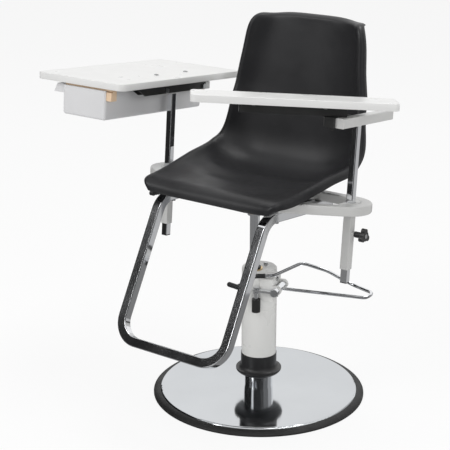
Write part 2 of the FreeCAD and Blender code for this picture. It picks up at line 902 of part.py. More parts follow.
def through_bolts(places, start, grip):
    """Bolts from below with their nuts, each pair as one solid."""
    bolts = []
    for x, y in places:
        bolt = hex_bolt(frame_bolt_radius, frame_bolt_size, frame_head_height, V(x, y, start), Z_WAY,
                        grip + frame_nut_height + weld_in)
        nut = hexagon(frame_bolt_size, V(x, y, start + grip), Z_WAY, frame_nut_height)
        bolts.append(joined(bolt, nut))
    return Part.makeCompound(bolts)


def carrier_bolts():
    """Bolts through the carrier plate and the cross rails."""
    start = foot_level - tube_size / 2 - carrier_thickness
    return through_bolts(carrier_bolt_places(), start, carrier_thickness + tube_size)


def hoop_bolts():
    """Bolts through the footrest's side runs and the hoops."""
    return through_bolts(frame_bolt_places(), foot_level - tube_size / 2, tube_size + hoop_height)


def shell_screws():
    """Bolts from below that hold the shell's bosses on the hoops."""
    low = foot_level + tube_size / 2
    bolts = []
    for x, y in seat_bolt_places():
        bolts.append(hex_bolt(frame_bolt_radius, frame_bolt_size, frame_head_height, V(x, y, low), Z_WAY,
                              hoop_height + seat_bolt_depth))
    return Part.makeCompound(bolts)


def shell_place(stretch, share):
    """A point on the shell's centre line and the direction towards the sitter."""
    turn = math.radians(90 - shell_back_lean_deg)
    bend_y = shell_back_y - shell_bend_radius * math.tan(turn / 2)
    lip_y = shell_front + shell_lip_radius
    if stretch == "lip":
        rise = math.radians(90 * share)
        normal = V(0, -math.cos(rise), math.sin(rise))
        return V(0, lip_y, shell_pan_level - shell_lip_radius) + normal * shell_lip_radius, normal
    if stretch == "pan":
        return V(0, lip_y + (bend_y - lip_y) * share, shell_pan_level), V(0, 0, 1)
    centre = V(0, bend_y, shell_pan_level + shell_bend_radius)
    if stretch == "bend":
        normal = V(0, -math.sin(turn * share), math.cos(turn * share))
        return centre - normal * shell_bend_radius, normal
    normal = V(0, -math.sin(turn), math.cos(turn))
    up = V(0, math.cos(turn), math.sin(turn))
    foot = centre - normal * shell_bend_radius
    length = (shell_back_top - foot.z) / up.z
    if stretch == "back":
        return foot + up * (length * share), normal
    roll = math.radians(shell_top_turn_deg * share)
    hub = foot + up * length - normal * shell_top_radius
    outward = normal * math.cos(roll) + up * math.sin(roll)
    return hub + outward * shell_top_radius, outward


def shell_half(width, wing, roll, skirt):
    """Half a cross-section: distance from the middle, height and direction of each point."""
    rim = width - roll
    slope = 0
    for _ in range(rim_passes):
        slope = math.atan(wing_power * wing / rim)
        rim = width - roll * (1 + math.sin(slope))
    points = []
    for share in cross_shares:
        way = math.atan(wing_power * wing / rim * share ** (wing_power - 1))
        points.append((rim * share, wing * share ** wing_power, way))
    hub_out = rim + roll * math.sin(slope)
    hub_up = wing - roll * math.cos(slope)
    for share in roll_shares:
        way = slope - (slope + math.pi / 2) * share
        points.append((hub_out - roll * math.sin(way), hub_up + roll * math.cos(way), way))
    out, up, way = points[-1]
    points.append((out, up - skirt, way))
    return points


def shell_section(centre, normal, width, wing, roll, skirt):
    """A closed cross-section of the shell: the upper curve, the lower curve and the two edges."""
    half = shell_half(width, wing, roll, skirt)
    curves = []
    for depth in (0, shell_thickness):
        row = [(out + depth * math.sin(way), up - depth * math.cos(way)) for out, up, way in half]
        row = [(-out, up) for out, up in reversed(row[1:])] + row
        curves.append([centre + V(out, 0, 0) + normal * up for out, up in row])
    upper, lower = curves
    lower.reverse()
    edges = []
    for points, following in ((upper, lower), (lower, upper)):
        curve = Part.BSplineCurve()
        curve.interpolate(points)
        edges.append(curve.toShape())
        edges.append(Part.LineSegment(points[-1], following[0]).toShape())
    return Part.Wire(edges)


def below_the_lip():
    """What is trimmed off below the front lip's curved lower edge."""
    half = shell_stations[1][2]
    near = shell_front - shell_front_reach
    far = shell_front + shell_front_reach
    lump = block(-half, half, near, far, shell_front_level - shell_front_reach,
                 shell_pan_level - shell_lip_radius / 2)
    hub = shell_front_level + shell_front_arch
    return lump.cut(bar(shell_front_arch, V(0, near - cut_over, hub), V(0, far + cut_over, hub)))


def seat_shell():
    """The moulded seat and back in one skin with rolled edges, and its four bosses below."""
    wires = []
    for stretch, share, width, wing, roll, skirt in shell_stations:
        centre, normal = shell_place(stretch, share)
        wires.append(shell_section(centre, normal, width, wing, roll, skirt))
    skin = Part.makeLoft(wires, True, False)
    low = foot_level + tube_size / 2 + hoop_height
    bosses = []
    for x, y in seat_bolt_places():
        post = upright(boss_radius, low, shell_pan_level + shell_bend_radius, x, y)
        below = sorted(post.cut(skin).Solids, key=lambda piece: piece.CenterOfMass.z)[0]
        bosses.append(below)
    shell = skin.multiFuse(bosses).cut(below_the_lip())
    return shell.cut(bolt_holes(seat_bolt_places(), low - cut_over, low + seat_bolt_depth))


def right_sleeve(bottom=right_sleeve_bottom):
    """The square sleeve that a post slides in, with the weld nut of its clamp screw."""
    top = foot_level + tube_size / 2 + hoop_height
    face = post_x + sleeve_size / 2
    sleeve = square_bar(sleeve_size, sleeve_corner, post_x, post_y, bottom, top)
    nut = hexagon(clamp_nut_size, V(face - weld_in, post_y, clamp_level), X_WAY,
                  clamp_nut_length + weld_in)
    bore = square_bar(post_size + 2 * post_gap, post_corner, post_x, post_y, bottom - cut_over,
                      top + cut_over)
    hole = bar(clamp_screw_radius + run_gap, V(post_x, post_y, clamp_level),
               V(face + clamp_nut_length + cut_over, post_y, clamp_level))
    return joined(sleeve, nut).cut(bore).cut(hole)


def clamp_screw():
    """The threaded rod of a clamp knob, its tip just off the post."""
    tip = post_x + post_size / 2 + slide_gap
    return bar(clamp_screw_radius, V(tip, post_y, clamp_level), V(knob_head_start, post_y, clamp_level))


def clamp_knob():
    """A lobed knob with its stem, bored for the screw."""
    centre = V(knob_head_start, post_y, clamp_level)
    end = V(knob_end, post_y, clamp_level)
    pieces = [bar(knob_stem_radius, V(knob_stem_start, post_y, clamp_level), end)]
    for i in range(knob_lobe_count):
        angle = math.radians(90 + 360 * i / knob_lobe_count)
        shift = V(0, math.cos(angle), math.sin(angle)) * knob_lobe_circle
        pieces.append(bar(knob_lobe_radius, centre + shift, end + shift))
    knob = joined(bar(knob_core_radius, centre, end), *pieces)
    return knob.cut(bar(clamp_screw_radius, V(knob_stem_start - cut_over, post_y, clamp_level), centre))


def post(bottom, top):
    """A square tube post."""
    return square_tube(post_size, post_wall, post_corner, post_x, post_y, bottom, top)


def post_plug(bottom):
    """The plug in a post's lower end."""
    plug = square_plug(post_size, post_wall, post_corner, plug_depth, plug_head)
    return laid(plug, post_x, post_y, bottom, Z_WAY)


def level_tube(size, wall, corner, y0, y1, z):
    """A square tube along Y over a post."""
    return laid(square_tube(size, wall, corner, 0, 0, 0, y1 - y0), post_x, y0, z, Y_WAY)


def level_caps(size, wall, corner, y0, y1, z):
    """The two end caps of a tube along Y."""
    cap = square_plug(size, wall, corner, plug_depth, cap_head)
    return Part.makeCompound([laid(cap, post_x, y0, z, Y_WAY), laid(cap, post_x, y1, z, V(0, -1, 0))])


def arm_tube():
    """The level tube on the right post."""
    centre = right_post_top + tube_size / 2
    return level_tube(tube_size, tube_wall, tube_corner, arm_tube_front, arm_tube_rear, centre)


def arm_tube_caps():
    """End caps of the arm tube."""
    centre = right_post_top + tube_size / 2
    return level_caps(tube_size, tube_wall, tube_corner, arm_tube_front, arm_tube_rear, centre)


def pivot_block():
    """The block beside the arm tube that carries the arm's pivot bolt."""
    face = post_x - tube_size / 2
    low = right_post_top
    outline = [V(face, block_front, low), V(face, block_tip, low), V(face - block_corner, block_tip, low),
               V(block_left, block_rear, low), V(block_left, block_front + block_corner, low),
               V(block_left + block_corner, block_front, low)]
    bore = upright(pivot_bolt_radius + run_gap, low - cut_over, low + tube_size + cut_over, pivot_x, pivot_y)
    return prism(outline, V(0, 0, tube_size)).cut(bore)


def rail_bottom():
    """The level of the arm rail's underside."""
    return right_post_top + tube_size + pivot_washer_height + slide_gap


def pivot_bolt():
    """The pivot's bolt, washers and nut."""
    seat = rail_bottom() + rail_wall
    low = right_post_top - slide_gap
    head = upright(pivot_head_radius, seat, seat + pivot_head_height, pivot_x, pivot_y)
    shank = upright(pivot_bolt_radius, low - pivot_nut_height - weld_in, seat + weld_in, pivot_x, pivot_y)
    washer = pipe(pivot_washer_radius, pivot_bolt_radius - weld_in, rail_bottom() - pivot_washer_height,
                  rail_bottom(), pivot_x, pivot_y)
    under = pipe(pivot_head_radius, pivot_bolt_radius - weld_in, low - pivot_washer_height, low,
                 pivot_x, pivot_y)
    nut = hexagon(pivot_nut_size, V(pivot_x, pivot_y, low - pivot_nut_height), Z_WAY, pivot_nut_height)
    return joined(head, shank, washer, under, nut)


def tab_centres():
    """How far in front of the pivot the rail's two tabs lie."""
    return [pivot_x - tab_near, pivot_x - tab_far]


def tab_screw_places():
    """Where the board's screws go through the tabs."""
    return [(x, pivot_y + side * tab_screw_y) for x in tab_centres() for side in (1, -1)]


def arm_rail():
    """The tube under the board, with two flat tabs for the board's screws."""
    low = rail_bottom()
    high = low + rail_size
    start = pivot_x - rail_front_reach
    length = rail_front_reach + rail_rear_reach
    outer = laid(square_bar(rail_size, rail_corner, 0, 0, 0, length), start, pivot_y,
                 low + rail_size / 2, X_WAY)
    inner = laid(square_bar(rail_size - 2 * rail_wall, rail_corner - rail_wall / 2, 0, 0, -cut_over,
                            length + cut_over), start, pivot_y, low + rail_size / 2, X_WAY)
    tabs = [block(x - tab_length / 2, x + tab_length / 2, pivot_y - tab_half_width,
                  pivot_y + tab_half_width, high - tab_thickness, high) for x in tab_centres()]
    rail = joined(outer, *tabs).cut(inner)
    rail = rail.cut(upright(pivot_bolt_radius, low - cut_over, low + rail_wall + cut_over, pivot_x, pivot_y))
    for x, y in tab_screw_places():
        rail = rail.cut(upright(wood_screw_radius, high - tab_thickness - cut_over, high + cut_over, x, y))
    return swung(rail)


def rail_caps():
    """End caps of the arm rail."""
    cap = square_plug(rail_size, rail_wall, rail_corner, plug_depth, cap_head)
    centre = rail_bottom() + rail_size / 2
    front = laid(cap, pivot_x - rail_front_reach, pivot_y, centre, X_WAY)
    rear = laid(cap, pivot_x + rail_rear_reach, pivot_y, centre, V(-1, 0, 0))
    return swung(Part.makeCompound([front, rear]))


def arm_board():
    """The laminated arm board."""
    low = rail_bottom() + rail_size
    board = slab(pivot_x - board_front_reach, pivot_x + board_rear_reach, pivot_y - board_width / 2,
                 pivot_y + board_width / 2, low, low + board_thickness, board_corner, board_edge_round)
    for x, y in tab_screw_places():
        board = board.cut(upright(wood_screw_radius, low - cut_over, low + wood_screw_depth, x, y))
    return swung(board)


def board_screws():
    """Screws from the tabs up into the board."""
    under = rail_bottom() + rail_size - tab_thickness
    screws = []
    for x, y in tab_screw_places():
        screws.append(pan_screw(wood_screw_radius, wood_head_radius, wood_head_height, V(x, y, under),
                                Z_WAY, tab_thickness + wood_screw_depth))
    return swung(Part.makeCompound(screws))


def table_under():
    """The level of the table's underside."""
    return left_post_top + table_tube_size + bracket_wall


def table_tube():
    """The level tube on the left post."""
    tube = level_tube(table_tube_size, table_tube_wall, tube_corner, -table_tube_half_length,
                      table_tube_half_length, left_post_top + table_tube_size / 2)
    return mirrored(tube).cut(table_bolt_bars(frame_bolt_radius, cut_over))


def table_tube_caps():
    """End caps of the table's tube."""
    caps = level_caps(table_tube_size, table_tube_wall, tube_corner, -table_tube_half_length,
                      table_tube_half_length, left_post_top + table_tube_size / 2)
    return mirrored(caps)


def table_bolt_bars(radius, over):
    """Bars along X through the bracket's sides and the tube."""
    half = table_tube_size / 2 + bracket_wall + over
    centre = left_post_top + table_tube_size / 2
    bars = []
    for y in (-bracket_bolt_y, bracket_bolt_y):
        bars.append(bar(radius, V(-post_x - half, y, centre), V(-post_x + half, y, centre)))
    return Part.makeCompound(bars)


def table_bracket():
    """The folded channel over the tube, with the flange under the table."""
    half = table_tube_size / 2
    outer = half + bracket_wall
    top = table_under()
    cover = block(bracket_left, -post_x + outer, bracket_front, bracket_rear, top - bracket_wall, top)
    sides = block(-post_x - outer, -post_x + outer, bracket_front, bracket_rear, top - bracket_depth, top)
    inside = block(-post_x - half, -post_x + half, bracket_front - cut_over, bracket_rear + cut_over,
                   top - bracket_depth - cut_over, top - bracket_wall)
    bracket = joined(cover, sides).cut(inside).cut(table_bolt_bars(frame_bolt_radius, cut_over))
    low = top - bracket_depth - cut_over
    taper = prism([V(-post_x - outer - cut_over, bracket_front - cut_over, top - bracket_tip),
                   V(-post_x - outer - cut_over, bracket_front, top - bracket_tip),
                   V(-post_x - outer - cut_over, bracket_front + bracket_taper, top - bracket_depth),
                   V(-post_x - outer - cut_over, bracket_front + bracket_taper, low),
                   V(-post_x - outer - cut_over, bracket_front - cut_over, low)],
                  V(2 * (outer + cut_over), 0, 0))
    bracket = bracket.cut(taper)
    for y in (table_screw_front, table_screw_rear):
        bracket = bracket.cut(upright(table_screw_radius, top - bracket_wall - cut_over, top + cut_over,
                                      table_screw_x, y))
    return bracket


def table_bolts():
    """Bolts across the bracket and the tube, with their nuts."""
    half = table_tube_size / 2 + bracket_wall
    centre = left_post_top + table_tube_size / 2
    bolts = []
    for y in (-bracket_bolt_y, bracket_bolt_y):
        start = V(-post_x + half, y, centre)
        bolt = hex_bolt(frame_bolt_radius, frame_bolt_size, frame_head_height, start, V(-1, 0, 0),
                        2 * half + frame_nut_height)
        nut = hexagon(frame_bolt_size, V(-post_x - half, y, centre), V(-1, 0, 0), frame_nut_height)
        bolts.append(joined(bolt, nut))
    return Part.makeCompound(bolts)


def runner_places():
    """Each runner's two Y faces and the side that faces the drawer's wall."""
    front = drawer_front + drawer_wall + runner_gap
    rear = drawer_rear - drawer_wall - runner_gap
    return [(front, front + runner_width, -1), (rear - runner_width, rear, 1)]


def runner_screw_places():
    """Where the runners are screwed up into the table."""
    places = []
    for y0, y1, side in runner_places():
        for x in (drawer_left + runner_screw_inset, runner_right - runner_screw_inset):
            places.append((x, (y0 + y1) / 2))
    return places


def table_top():
    """The laminated table top."""
    low = table_under()
    top = slab(table_left, table_right, table_front, table_rear, low, low + table_thickness,
               table_corner, board_edge_round)
    for y in (table_screw_front, table_screw_rear):
        top = top.cut(upright(table_screw_radius, low - cut_over, low + table_thickness + cut_over,
                              table_screw_x, y))
    for x, y in runner_screw_places():
        top = top.cut(upright(wood_screw_radius, low - cut_over, low + wood_screw_depth, x, y))
    return top


def table_screws():
    """Screws through the table and the bracket's flange, with their nuts."""
    low = table_under() - bracket_wall
    high = table_under() + table_thickness
    screws = []
    for y in (table_screw_front, table_screw_rear):
        screw = pan_screw(table_screw_radius, table_screw_head_radius, table_screw_head_height,
                          V(table_screw_x, y, high), V(0, 0, -1), high - low + table_nut_height)
        nut = hexagon(table_nut_size, V(table_screw_x, y, low), V(0, 0, -1), table_nut_height)
        screws.append(joined(screw, nut))
    return Part.makeCompound(screws)


def drawer_runners():
    """Two wooden runners under the table, grooved for the drawer's flanges, with sunk screw seats."""
    high = table_under()
    low = high - runner_height
    groove_top = high - drawer_drop + slide_gap
    groove_low = high - drawer_drop - flange_thickness - slide_gap
    left = drawer_left + drawer_wall + runner_end_gap
    runners = []
    for y0, y1, side in runner_places():
        runner = block(left, runner_right, y0, y1, low, high)
        if side < 0:
            groove = block(left - cut_over, runner_right + cut_over, y0 - cut_over, y0 + runner_groove,
                           groove_low, groove_top)
        else:
            groove = block(left - cut_over, runner_right + cut_over, y1 - runner_groove, y1 + cut_over,
                           groove_low, groove_top)
        runner = runner.cut(groove)
        for x, y in runner_screw_places():
            runner = runner.cut(upright(wood_screw_radius, low - cut_over, high + cut_over, x, y))
            runner = runner.cut(upright(wood_head_radius + wood_head_gap, low - cut_over,
                                        low + wood_head_height, x, y))
        runners.append(runner)
    return Part.makeCompound(runners)


def runner_screws():
    """Screws up through the runners into the table, their heads sunk."""
    start = table_under() - runner_height + wood_head_height
    screws = []
    for x, y in runner_screw_places():
        screws.append(pan_screw(wood_screw_radius, wood_head_radius, wood_head_height, V(x, y, start),
                                Z_WAY, runner_height - wood_head_height + wood_screw_depth))
    return Part.makeCompound(screws)


def drawer_bin():
    """The moulded drawer: a bin with inward flanges, one low wall and a flared pull lip."""
    top = table_under() - drawer_drop

    def is_outer_corner(way, middle):
        return is_upright(way, middle) or middle.z < drawer_floor + tiny

    outer = rounded(block(drawer_left, drawer_right, drawer_front, drawer_rear, drawer_floor, top),
                    drawer_round, is_outer_corner)

    def is_inner_corner(way, middle):
        return is_upright(way, middle) or middle.z < drawer_floor + drawer_wall + tiny

    inner = rounded(block(drawer_left + drawer_wall, drawer_right - drawer_wall,
                          drawer_front + drawer_wall, drawer_rear - drawer_wall,
                          drawer_floor + drawer_wall, top + cut_over + drawer_round),
                    drawer_round - drawer_wall, is_inner_corner)
    bin_shape = outer.cut(inner)
    for y0, y1, _ in runner_places():
        bin_shape = bin_shape.cut(block(drawer_right - drawer_round, drawer_right + cut_over, y0 - notch_gap,
                                        y1 + notch_gap, table_under() - runner_height - notch_gap,
                                        top + cut_over))
    flange_low = top - flange_thickness
    left = drawer_left + drawer_round
    right = drawer_right - drawer_round
    front_face = drawer_front + drawer_wall
    rear_face = drawer_rear - drawer_wall
    front = block(left, right, front_face - weld_in, front_face + flange_reach, flange_low, top)
    rear = block(left, right, rear_face - flange_reach, rear_face + weld_in, flange_low, top)
    return joined(bin_shape, front, rear, drawer_pull(top))


def drawer_pull(top):
    """The hollow finger pull along the drawer's outer wall, open below and closed at both ends."""
    near = drawer_front + drawer_round
    length = drawer_rear - drawer_front - 2 * drawer_round
    foot = top - pull_height
    edge = drawer_left - pull_reach
    face = drawer_left - pull_reach - pull_slant
    outer = prism([V(drawer_left + weld_in, near, top), V(edge, near, top), V(face, near, foot),
                   V(drawer_left + weld_in, near, foot)], V(0, length, 0))
    start = near + pull_wall
    inner = prism([V(drawer_left, start, top - pull_wall), V(edge + pull_wall, start, top - pull_wall),
                   V(face + pull_wall, start, foot), V(face + pull_wall, start, foot - cut_over),
                   V(drawer_left, start, foot - cut_over)], V(0, length - 2 * pull_wall, 0))
    return outer.cut(inner)


def lug(start):
    """A bearing lug of the pump bracket."""
    eye = bar(lug_radius, V(pedal_shaft_x, start, pedal_level),
              V(pedal_shaft_x, start + lug_thickness, pedal_level))
    arm = block(lug_root, pedal_shaft_x, start, start + lug_thickness, pedal_level - lug_radius,
                pedal_level + lug_radius)
    return joined(eye, arm)


def yoke_bolt_bars(radius, start, end):
    """Bars through the bracket's back into the pump, above and below the shaft."""
    bars = []
    for rise in (-yoke_bolt_rise, yoke_bolt_rise):
        level = pedal_level + rise
        bars.append(bar(radius, V(start, yoke_bolt_y, level), V(end, yoke_bolt_y, level)))
    return Part.makeCompound(bars)


def yoke_face():
    """The outer face of the bracket's back."""
    return pump_radius + yoke_width


def pump_bracket():
    """The cast bracket on the pump that carries the pedal's shaft."""
    back = block(lug_root, yoke_face(), lug_front, lug_rear, pedal_level - yoke_half_height,
                 pedal_level + yoke_half_height)
    clear = bar(pedal_hub_radius + run_gap + slide_gap,
                V(pedal_shaft_x, lug_front + lug_thickness, pedal_level),
                V(pedal_shaft_x, lug_rear - lug_thickness, pedal_level))
    bracket = joined(back.cut(clear), lug(lug_front), lug(lug_rear - lug_thickness))
    bracket = bracket.cut(upright(pump_radius, pump_seam - cut_over, pump_top + cut_over))
    bracket = bracket.cut(upright(barrel_radius, barrel_bottom, barrel_top, plunger_x, plunger_y))
    shaft = bar(pedal_shaft_radius + run_gap, V(pedal_shaft_x, lug_front - cut_over, pedal_level),
                V(pedal_shaft_x, lug_rear + cut_over, pedal_level))
    bracket = bracket.cut(shaft)
    return toward_pedal(bracket.cut(yoke_bolt_bars(yoke_bolt_radius, 0, yoke_face() + cut_over)))


def bracket_bolts():
    """The two bolts that hold the bracket on the pump, ending on its wall."""
    bolts = []
    wall = math.sqrt(pump_radius ** 2 - yoke_bolt_y ** 2)
    for rise in (-yoke_bolt_rise, yoke_bolt_rise):
        start = V(yoke_face(), yoke_bolt_y, pedal_level + rise)
        bolts.append(hex_bolt(yoke_bolt_radius, yoke_bolt_size, yoke_bolt_head, start, V(-1, 0, 0),
                              yoke_face() - wall - yoke_bolt_radius / 2))
    return toward_pedal(Part.makeCompound(bolts))


def plunger_barrel():
    """The small barrel beside the pump that the plunger works in."""
    barrel = upright(barrel_radius, barrel_bottom, barrel_top, plunger_x, plunger_y)
    pad = block(plunger_x - barrel_pad_half, plunger_x + barrel_pad_half, plunger_y, 0,
                barrel_bottom + weld_in, barrel_top - weld_in)
    bore = upright(plunger_radius + run_gap, barrel_bore_bottom, barrel_top + cut_over, plunger_x, plunger_y)
    body = joined(barrel, pad).cut(upright(pump_radius, barrel_bottom - cut_over, barrel_top + cut_over))
    return toward_pedal(body.cut(bore))


def plunger():
    """The plunger with a grooved head that the rocker lifts."""
    groove = rocker_thickness + 2 * plunger_play
    low = pedal_level - groove / 2
    high = pedal_level + groove / 2
    body = upright(plunger_radius, plunger_bottom, low, plunger_x, plunger_y)
    neck = upright(plunger_neck_radius, low - weld_in, high + weld_in, plunger_x, plunger_y)
    flange = upright(plunger_head_radius, low - plunger_head_height, low, plunger_x, plunger_y)
    cap = upright(plunger_head_radius, high, high + plunger_head_height, plunger_x, plunger_y)
    return toward_pedal(joined(body, neck, flange, cap))


def pump_rocker():
    """The forked lever between the pedal's shaft and the plunger."""
    y0 = plunger_y - rocker_half_width
    y1 = plunger_y + rocker_half_width
    arm = block(plunger_x - rocker_nose, pedal_shaft_x, y0, y1, pedal_level - rocker_thickness / 2,
                pedal_level + rocker_thickness / 2)
    eye = bar(rocker_hub_radius, V(pedal_shaft_x, y0, pedal_level), V(pedal_shaft_x, y1, pedal_level))
    slot_radius = plunger_neck_radius + rocker_slot_gap
    slot_end = upright(slot_radius, pedal_level - rocker_thickness, pedal_level + rocker_thickness,
                       plunger_x, plunger_y)
    slot = block(plunger_x - rocker_nose - cut_over, plunger_x, plunger_y - slot_radius,
                 plunger_y + slot_radius, pedal_level - rocker_thickness, pedal_level + rocker_thickness)
    bore = bar(pedal_shaft_radius, V(pedal_shaft_x, y0 - cut_over, pedal_level),
               V(pedal_shaft_x, y1 + cut_over, pedal_level))
    return toward_pedal(joined(arm, eye).cut(slot_end).cut(slot).cut(bore))


def pedal_shaft():
    """The shaft that turns in the bracket's lugs, with a head at each end."""
    front = plunger_y - rocker_half_width
    rear = lug_rear + slide_gap
    shaft = bar(pedal_shaft_radius, V(pedal_shaft_x, front - weld_in, pedal_level),
                V(pedal_shaft_x, rear + weld_in, pedal_level))
    front_head = bar(pedal_hub_radius, V(pedal_shaft_x, front - pedal_shaft_head, pedal_level),
                     V(pedal_shaft_x, front, pedal_level))
    rear_head = bar(pedal_hub_radius, V(pedal_shaft_x, rear, pedal_level),
                    V(pedal_shaft_x, rear + pedal_shaft_head, pedal_level))
    return toward_pedal(joined(shaft, front_head, rear_head))


def pedal_loop():
    """The bent rod that the foot presses, welded to a hub on the shaft."""
    points = [V(x, y, z) for x, y, z in pedal_points]
    way = (points[1] - points[0]).normalize()
    circle = Part.Wire([Part.Circle(points[0], way, pedal_rod_radius).toShape()])
    rod = bent_path(points, pedal_radii).makePipeShell([circle], True, False)
    y0 = lug_front + lug_thickness + slide_gap
    y1 = lug_rear - lug_thickness - slide_gap
    hub = bar(pedal_hub_radius, V(pedal_shaft_x, y0, pedal_level), V(pedal_shaft_x, y1, pedal_level))
    bore = bar(pedal_shaft_radius, V(pedal_shaft_x, y0 - cut_over, pedal_level),
               V(pedal_shaft_x, y1 + cut_over, pedal_level))
    return toward_pedal(joined(hub, rod).cut(bore))


def release_lever():
    """The release rod with its cross bar."""
    rod_start = release_point(release_rod_start)
    rod_end = release_point(release_bar_at)
    rod = bar(release_rod_radius, rod_start, rod_end)
    out = (rod_end - rod_start).normalize()
    half = V(-out.y, out.x, 0) * (release_bar_length / 2)
    cross = bar(release_bar_radius, rod_end - half, rod_end + half)
    ends = [Part.makeSphere(release_bar_radius, rod_end + half * side) for side in (-1, 1)]
    return joined(cross, rod, *ends)


def build():
    """All the pieces by name."""
    right = right_hoop()
    upright_pieces = {
        "seat_shell": seat_shell(),
        "shell_screws": shell_screws(),
        "footrest_frame": footrest_frame(),
        "frame_plugs": frame_plugs(),
        "cross_rails": cross_rails(),
        "carrier_bolts": carrier_bolts(),
        "right_hoop": right,
        "left_hoop": mirrored(right),
        "hoop_bolts": hoop_bolts(),
        "right_sleeve": right_sleeve(),
        "left_sleeve": mirrored(right_sleeve(left_sleeve_bottom)),
        "right_clamp_screw": clamp_screw(),
        "right_knob": clamp_knob(),
        "left_clamp_screw": mirrored(clamp_screw()),
        "left_knob": mirrored(clamp_knob()),
        "right_post": post(right_post_bottom, right_post_top),
        "right_post_plug": post_plug(right_post_bottom),
        "arm_tube": arm_tube(),
        "arm_tube_caps": arm_tube_caps(),
        "pivot_block": pivot_block(),
        "pivot_bolt": pivot_bolt(),
        "arm_rail": arm_rail(),
        "rail_caps": rail_caps(),
        "arm_board": arm_board(),
        "board_screws": board_screws(),
        "left_post": mirrored(post(left_post_bottom, left_post_top)),
        "left_post_plug": mirrored(post_plug(left_post_bottom)),
        "table_tube": table_tube(),
        "table_tube_caps": table_tube_caps(),
        "table_bracket": table_bracket(),
        "table_bolts": table_bolts(),
        "table_top": table_top(),
        "table_screws": table_screws(),
        "drawer_runners": drawer_runners(),
        "runner_screws": runner_screws(),
        "drawer_bin": drawer_bin(),
    }
    pieces = {name: leaned(shape) for name, shape in upright_pieces.items()}
    pieces.update({
        "base_rim": base_rim(),
        "base_plate": base_plate(),
        "ballast_disc": ballast_disc(),
        "base_bolts": base_bolts(),
        "riser_tube": riser_tube(),
        "column_collar": column_collar(),
        "pump_lower": pump_lower(),
        "pump_head": pump_head(),
        "pump_cylinder": pump_cylinder(),
        "ram_gland": ram_gland(),
        "ram_wiper": ram_wiper(),
        "ram_rod": ram_rod(),
        "thrust_washer": thrust_washer(),
        "ram_bolt": ram_bolt(),
        "swivel_hub": swivel_hub(),
        "carrier_plate": carrier_plate(),
        "pump_bracket": pump_bracket(),
        "bracket_bolts": bracket_bolts(),
        "plunger_barrel": plunger_barrel(),
        "plunger": plunger(),
        "pump_rocker": pump_rocker(),
        "pedal_shaft": pedal_shaft(),
        "pedal_loop": pedal_loop(),
        "release_lever": release_lever(),
    })
    return pieces


os.makedirs("parts", exist_ok=True)
for name, shape in build().items():
    print(name, shape.isValid(), len(shape.Solids), round(shape.Volume))
    shape.exportStep("parts/" + name + ".step")
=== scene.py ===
import math

import bpy
from bpy.props import FloatProperty, FloatVectorProperty, IntProperty, PointerProperty
from mathutils import Matrix, Vector


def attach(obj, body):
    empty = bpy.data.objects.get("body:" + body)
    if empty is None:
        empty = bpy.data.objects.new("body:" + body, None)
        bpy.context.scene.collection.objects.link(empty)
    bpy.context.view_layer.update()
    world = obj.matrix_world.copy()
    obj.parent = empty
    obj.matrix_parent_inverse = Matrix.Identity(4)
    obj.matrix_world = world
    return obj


bl_info = {
    "name": "Phlebotomy Chair Dressing",
    "version": (1, 0, 0),
    "blender": (4, 5, 0),
    "location": "3D View > Sidebar > Chair",
    "description": "Finishes and trims a phlebotomy chair built around its packed CAD frame",
    "category": "Object",
}

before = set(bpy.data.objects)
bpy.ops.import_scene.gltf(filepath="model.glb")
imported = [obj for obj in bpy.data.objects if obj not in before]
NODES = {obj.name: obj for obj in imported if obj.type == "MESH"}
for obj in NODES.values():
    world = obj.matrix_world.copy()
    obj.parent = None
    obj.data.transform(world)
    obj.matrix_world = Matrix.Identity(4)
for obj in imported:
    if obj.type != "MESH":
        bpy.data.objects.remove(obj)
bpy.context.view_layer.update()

MM = 0.001
LEAN = math.radians(5.0)
LEAN_LEVEL = 0.4
ARM_TURN = math.radians(38.2)
ARM_PIVOT = (0.270, -0.113)
PEDAL_TURN = math.radians(15.6)

# Edge bands of the table top and the arm board
TABLE_BAND_CENTRE = (-0.4345, -0.0165, 0.8605)
TABLE_BAND_SIZE = (0.313, 0.537, 0.019)
TABLE_BAND_CORNER = 0.022
ARM_BAND_SIZE = (0.519, 0.098, 0.019)
ARM_BAND_CORNER = 0.014
ARM_BAND_SIDE = 0.0975
BAND_CORNER_STEPS = 8
BAND_EDGE_SHARE = 0.4

# Posts, tubes and sleeves, with their weld beads
POST_PLACE = (0.302, -0.042)
ARM_POST_TOP = 0.8195
TABLE_POST_TOP = 0.826
TUBE_SIZE = 0.0254
RAIL_WASHER = 0.0014
RAIL_GAP = 0.0002
POST_BEAD_WIDTH = 0.0195
SLEEVE_BEAD_WIDTH = 0.0245
SLEEVE_BEAD_TOP = 0.6168
SLEEVE_BEAD_LOW = 0.5918
HUB_BEAD_CENTRE = (0, -0.024, 0.5605)
HUB_BEAD_RADIUS = 0.0232
HUB_BEAD_THICKNESS = 0.0018

# Pump, collar and pedal
PUMP_SEAM_LEVEL = 0.260
PUMP_SEAM_RADIUS = 0.0488
COLLAR_PARTING_LEVEL = 0.0695
COLLAR_PARTING_RADIUS = 0.0642
COLLAR_PARTING_SHARE = 0.6
RING_FLATNESS = 0.8
RING_SIDES = 10
LEVER_END = (8 * MM, -60 * MM, 366 * MM)
LEVER_BEND = (60 * MM, -50 * MM, 372 * MM)
GRIP_LENGTH = 32 * MM
GRIP_RADIUS = 6.2 * MM
GRIP_OVERHANG = 2.5 * MM
GRIP_INSET = 1.4 * MM
GRIP_ROUND = 1.2 * MM
FILL_PLUG_CENTRE = (0.006, 0.022, 0.3772)
FILL_PLUG_RADIUS = 6 * MM
FILL_PLUG_HEIGHT = 5 * MM
FILL_PLUG_INSET = 1.2 * MM
FILL_PLUG_RISE = 0.8 * MM
FILL_PLUG_ROUND = 0.3 * MM

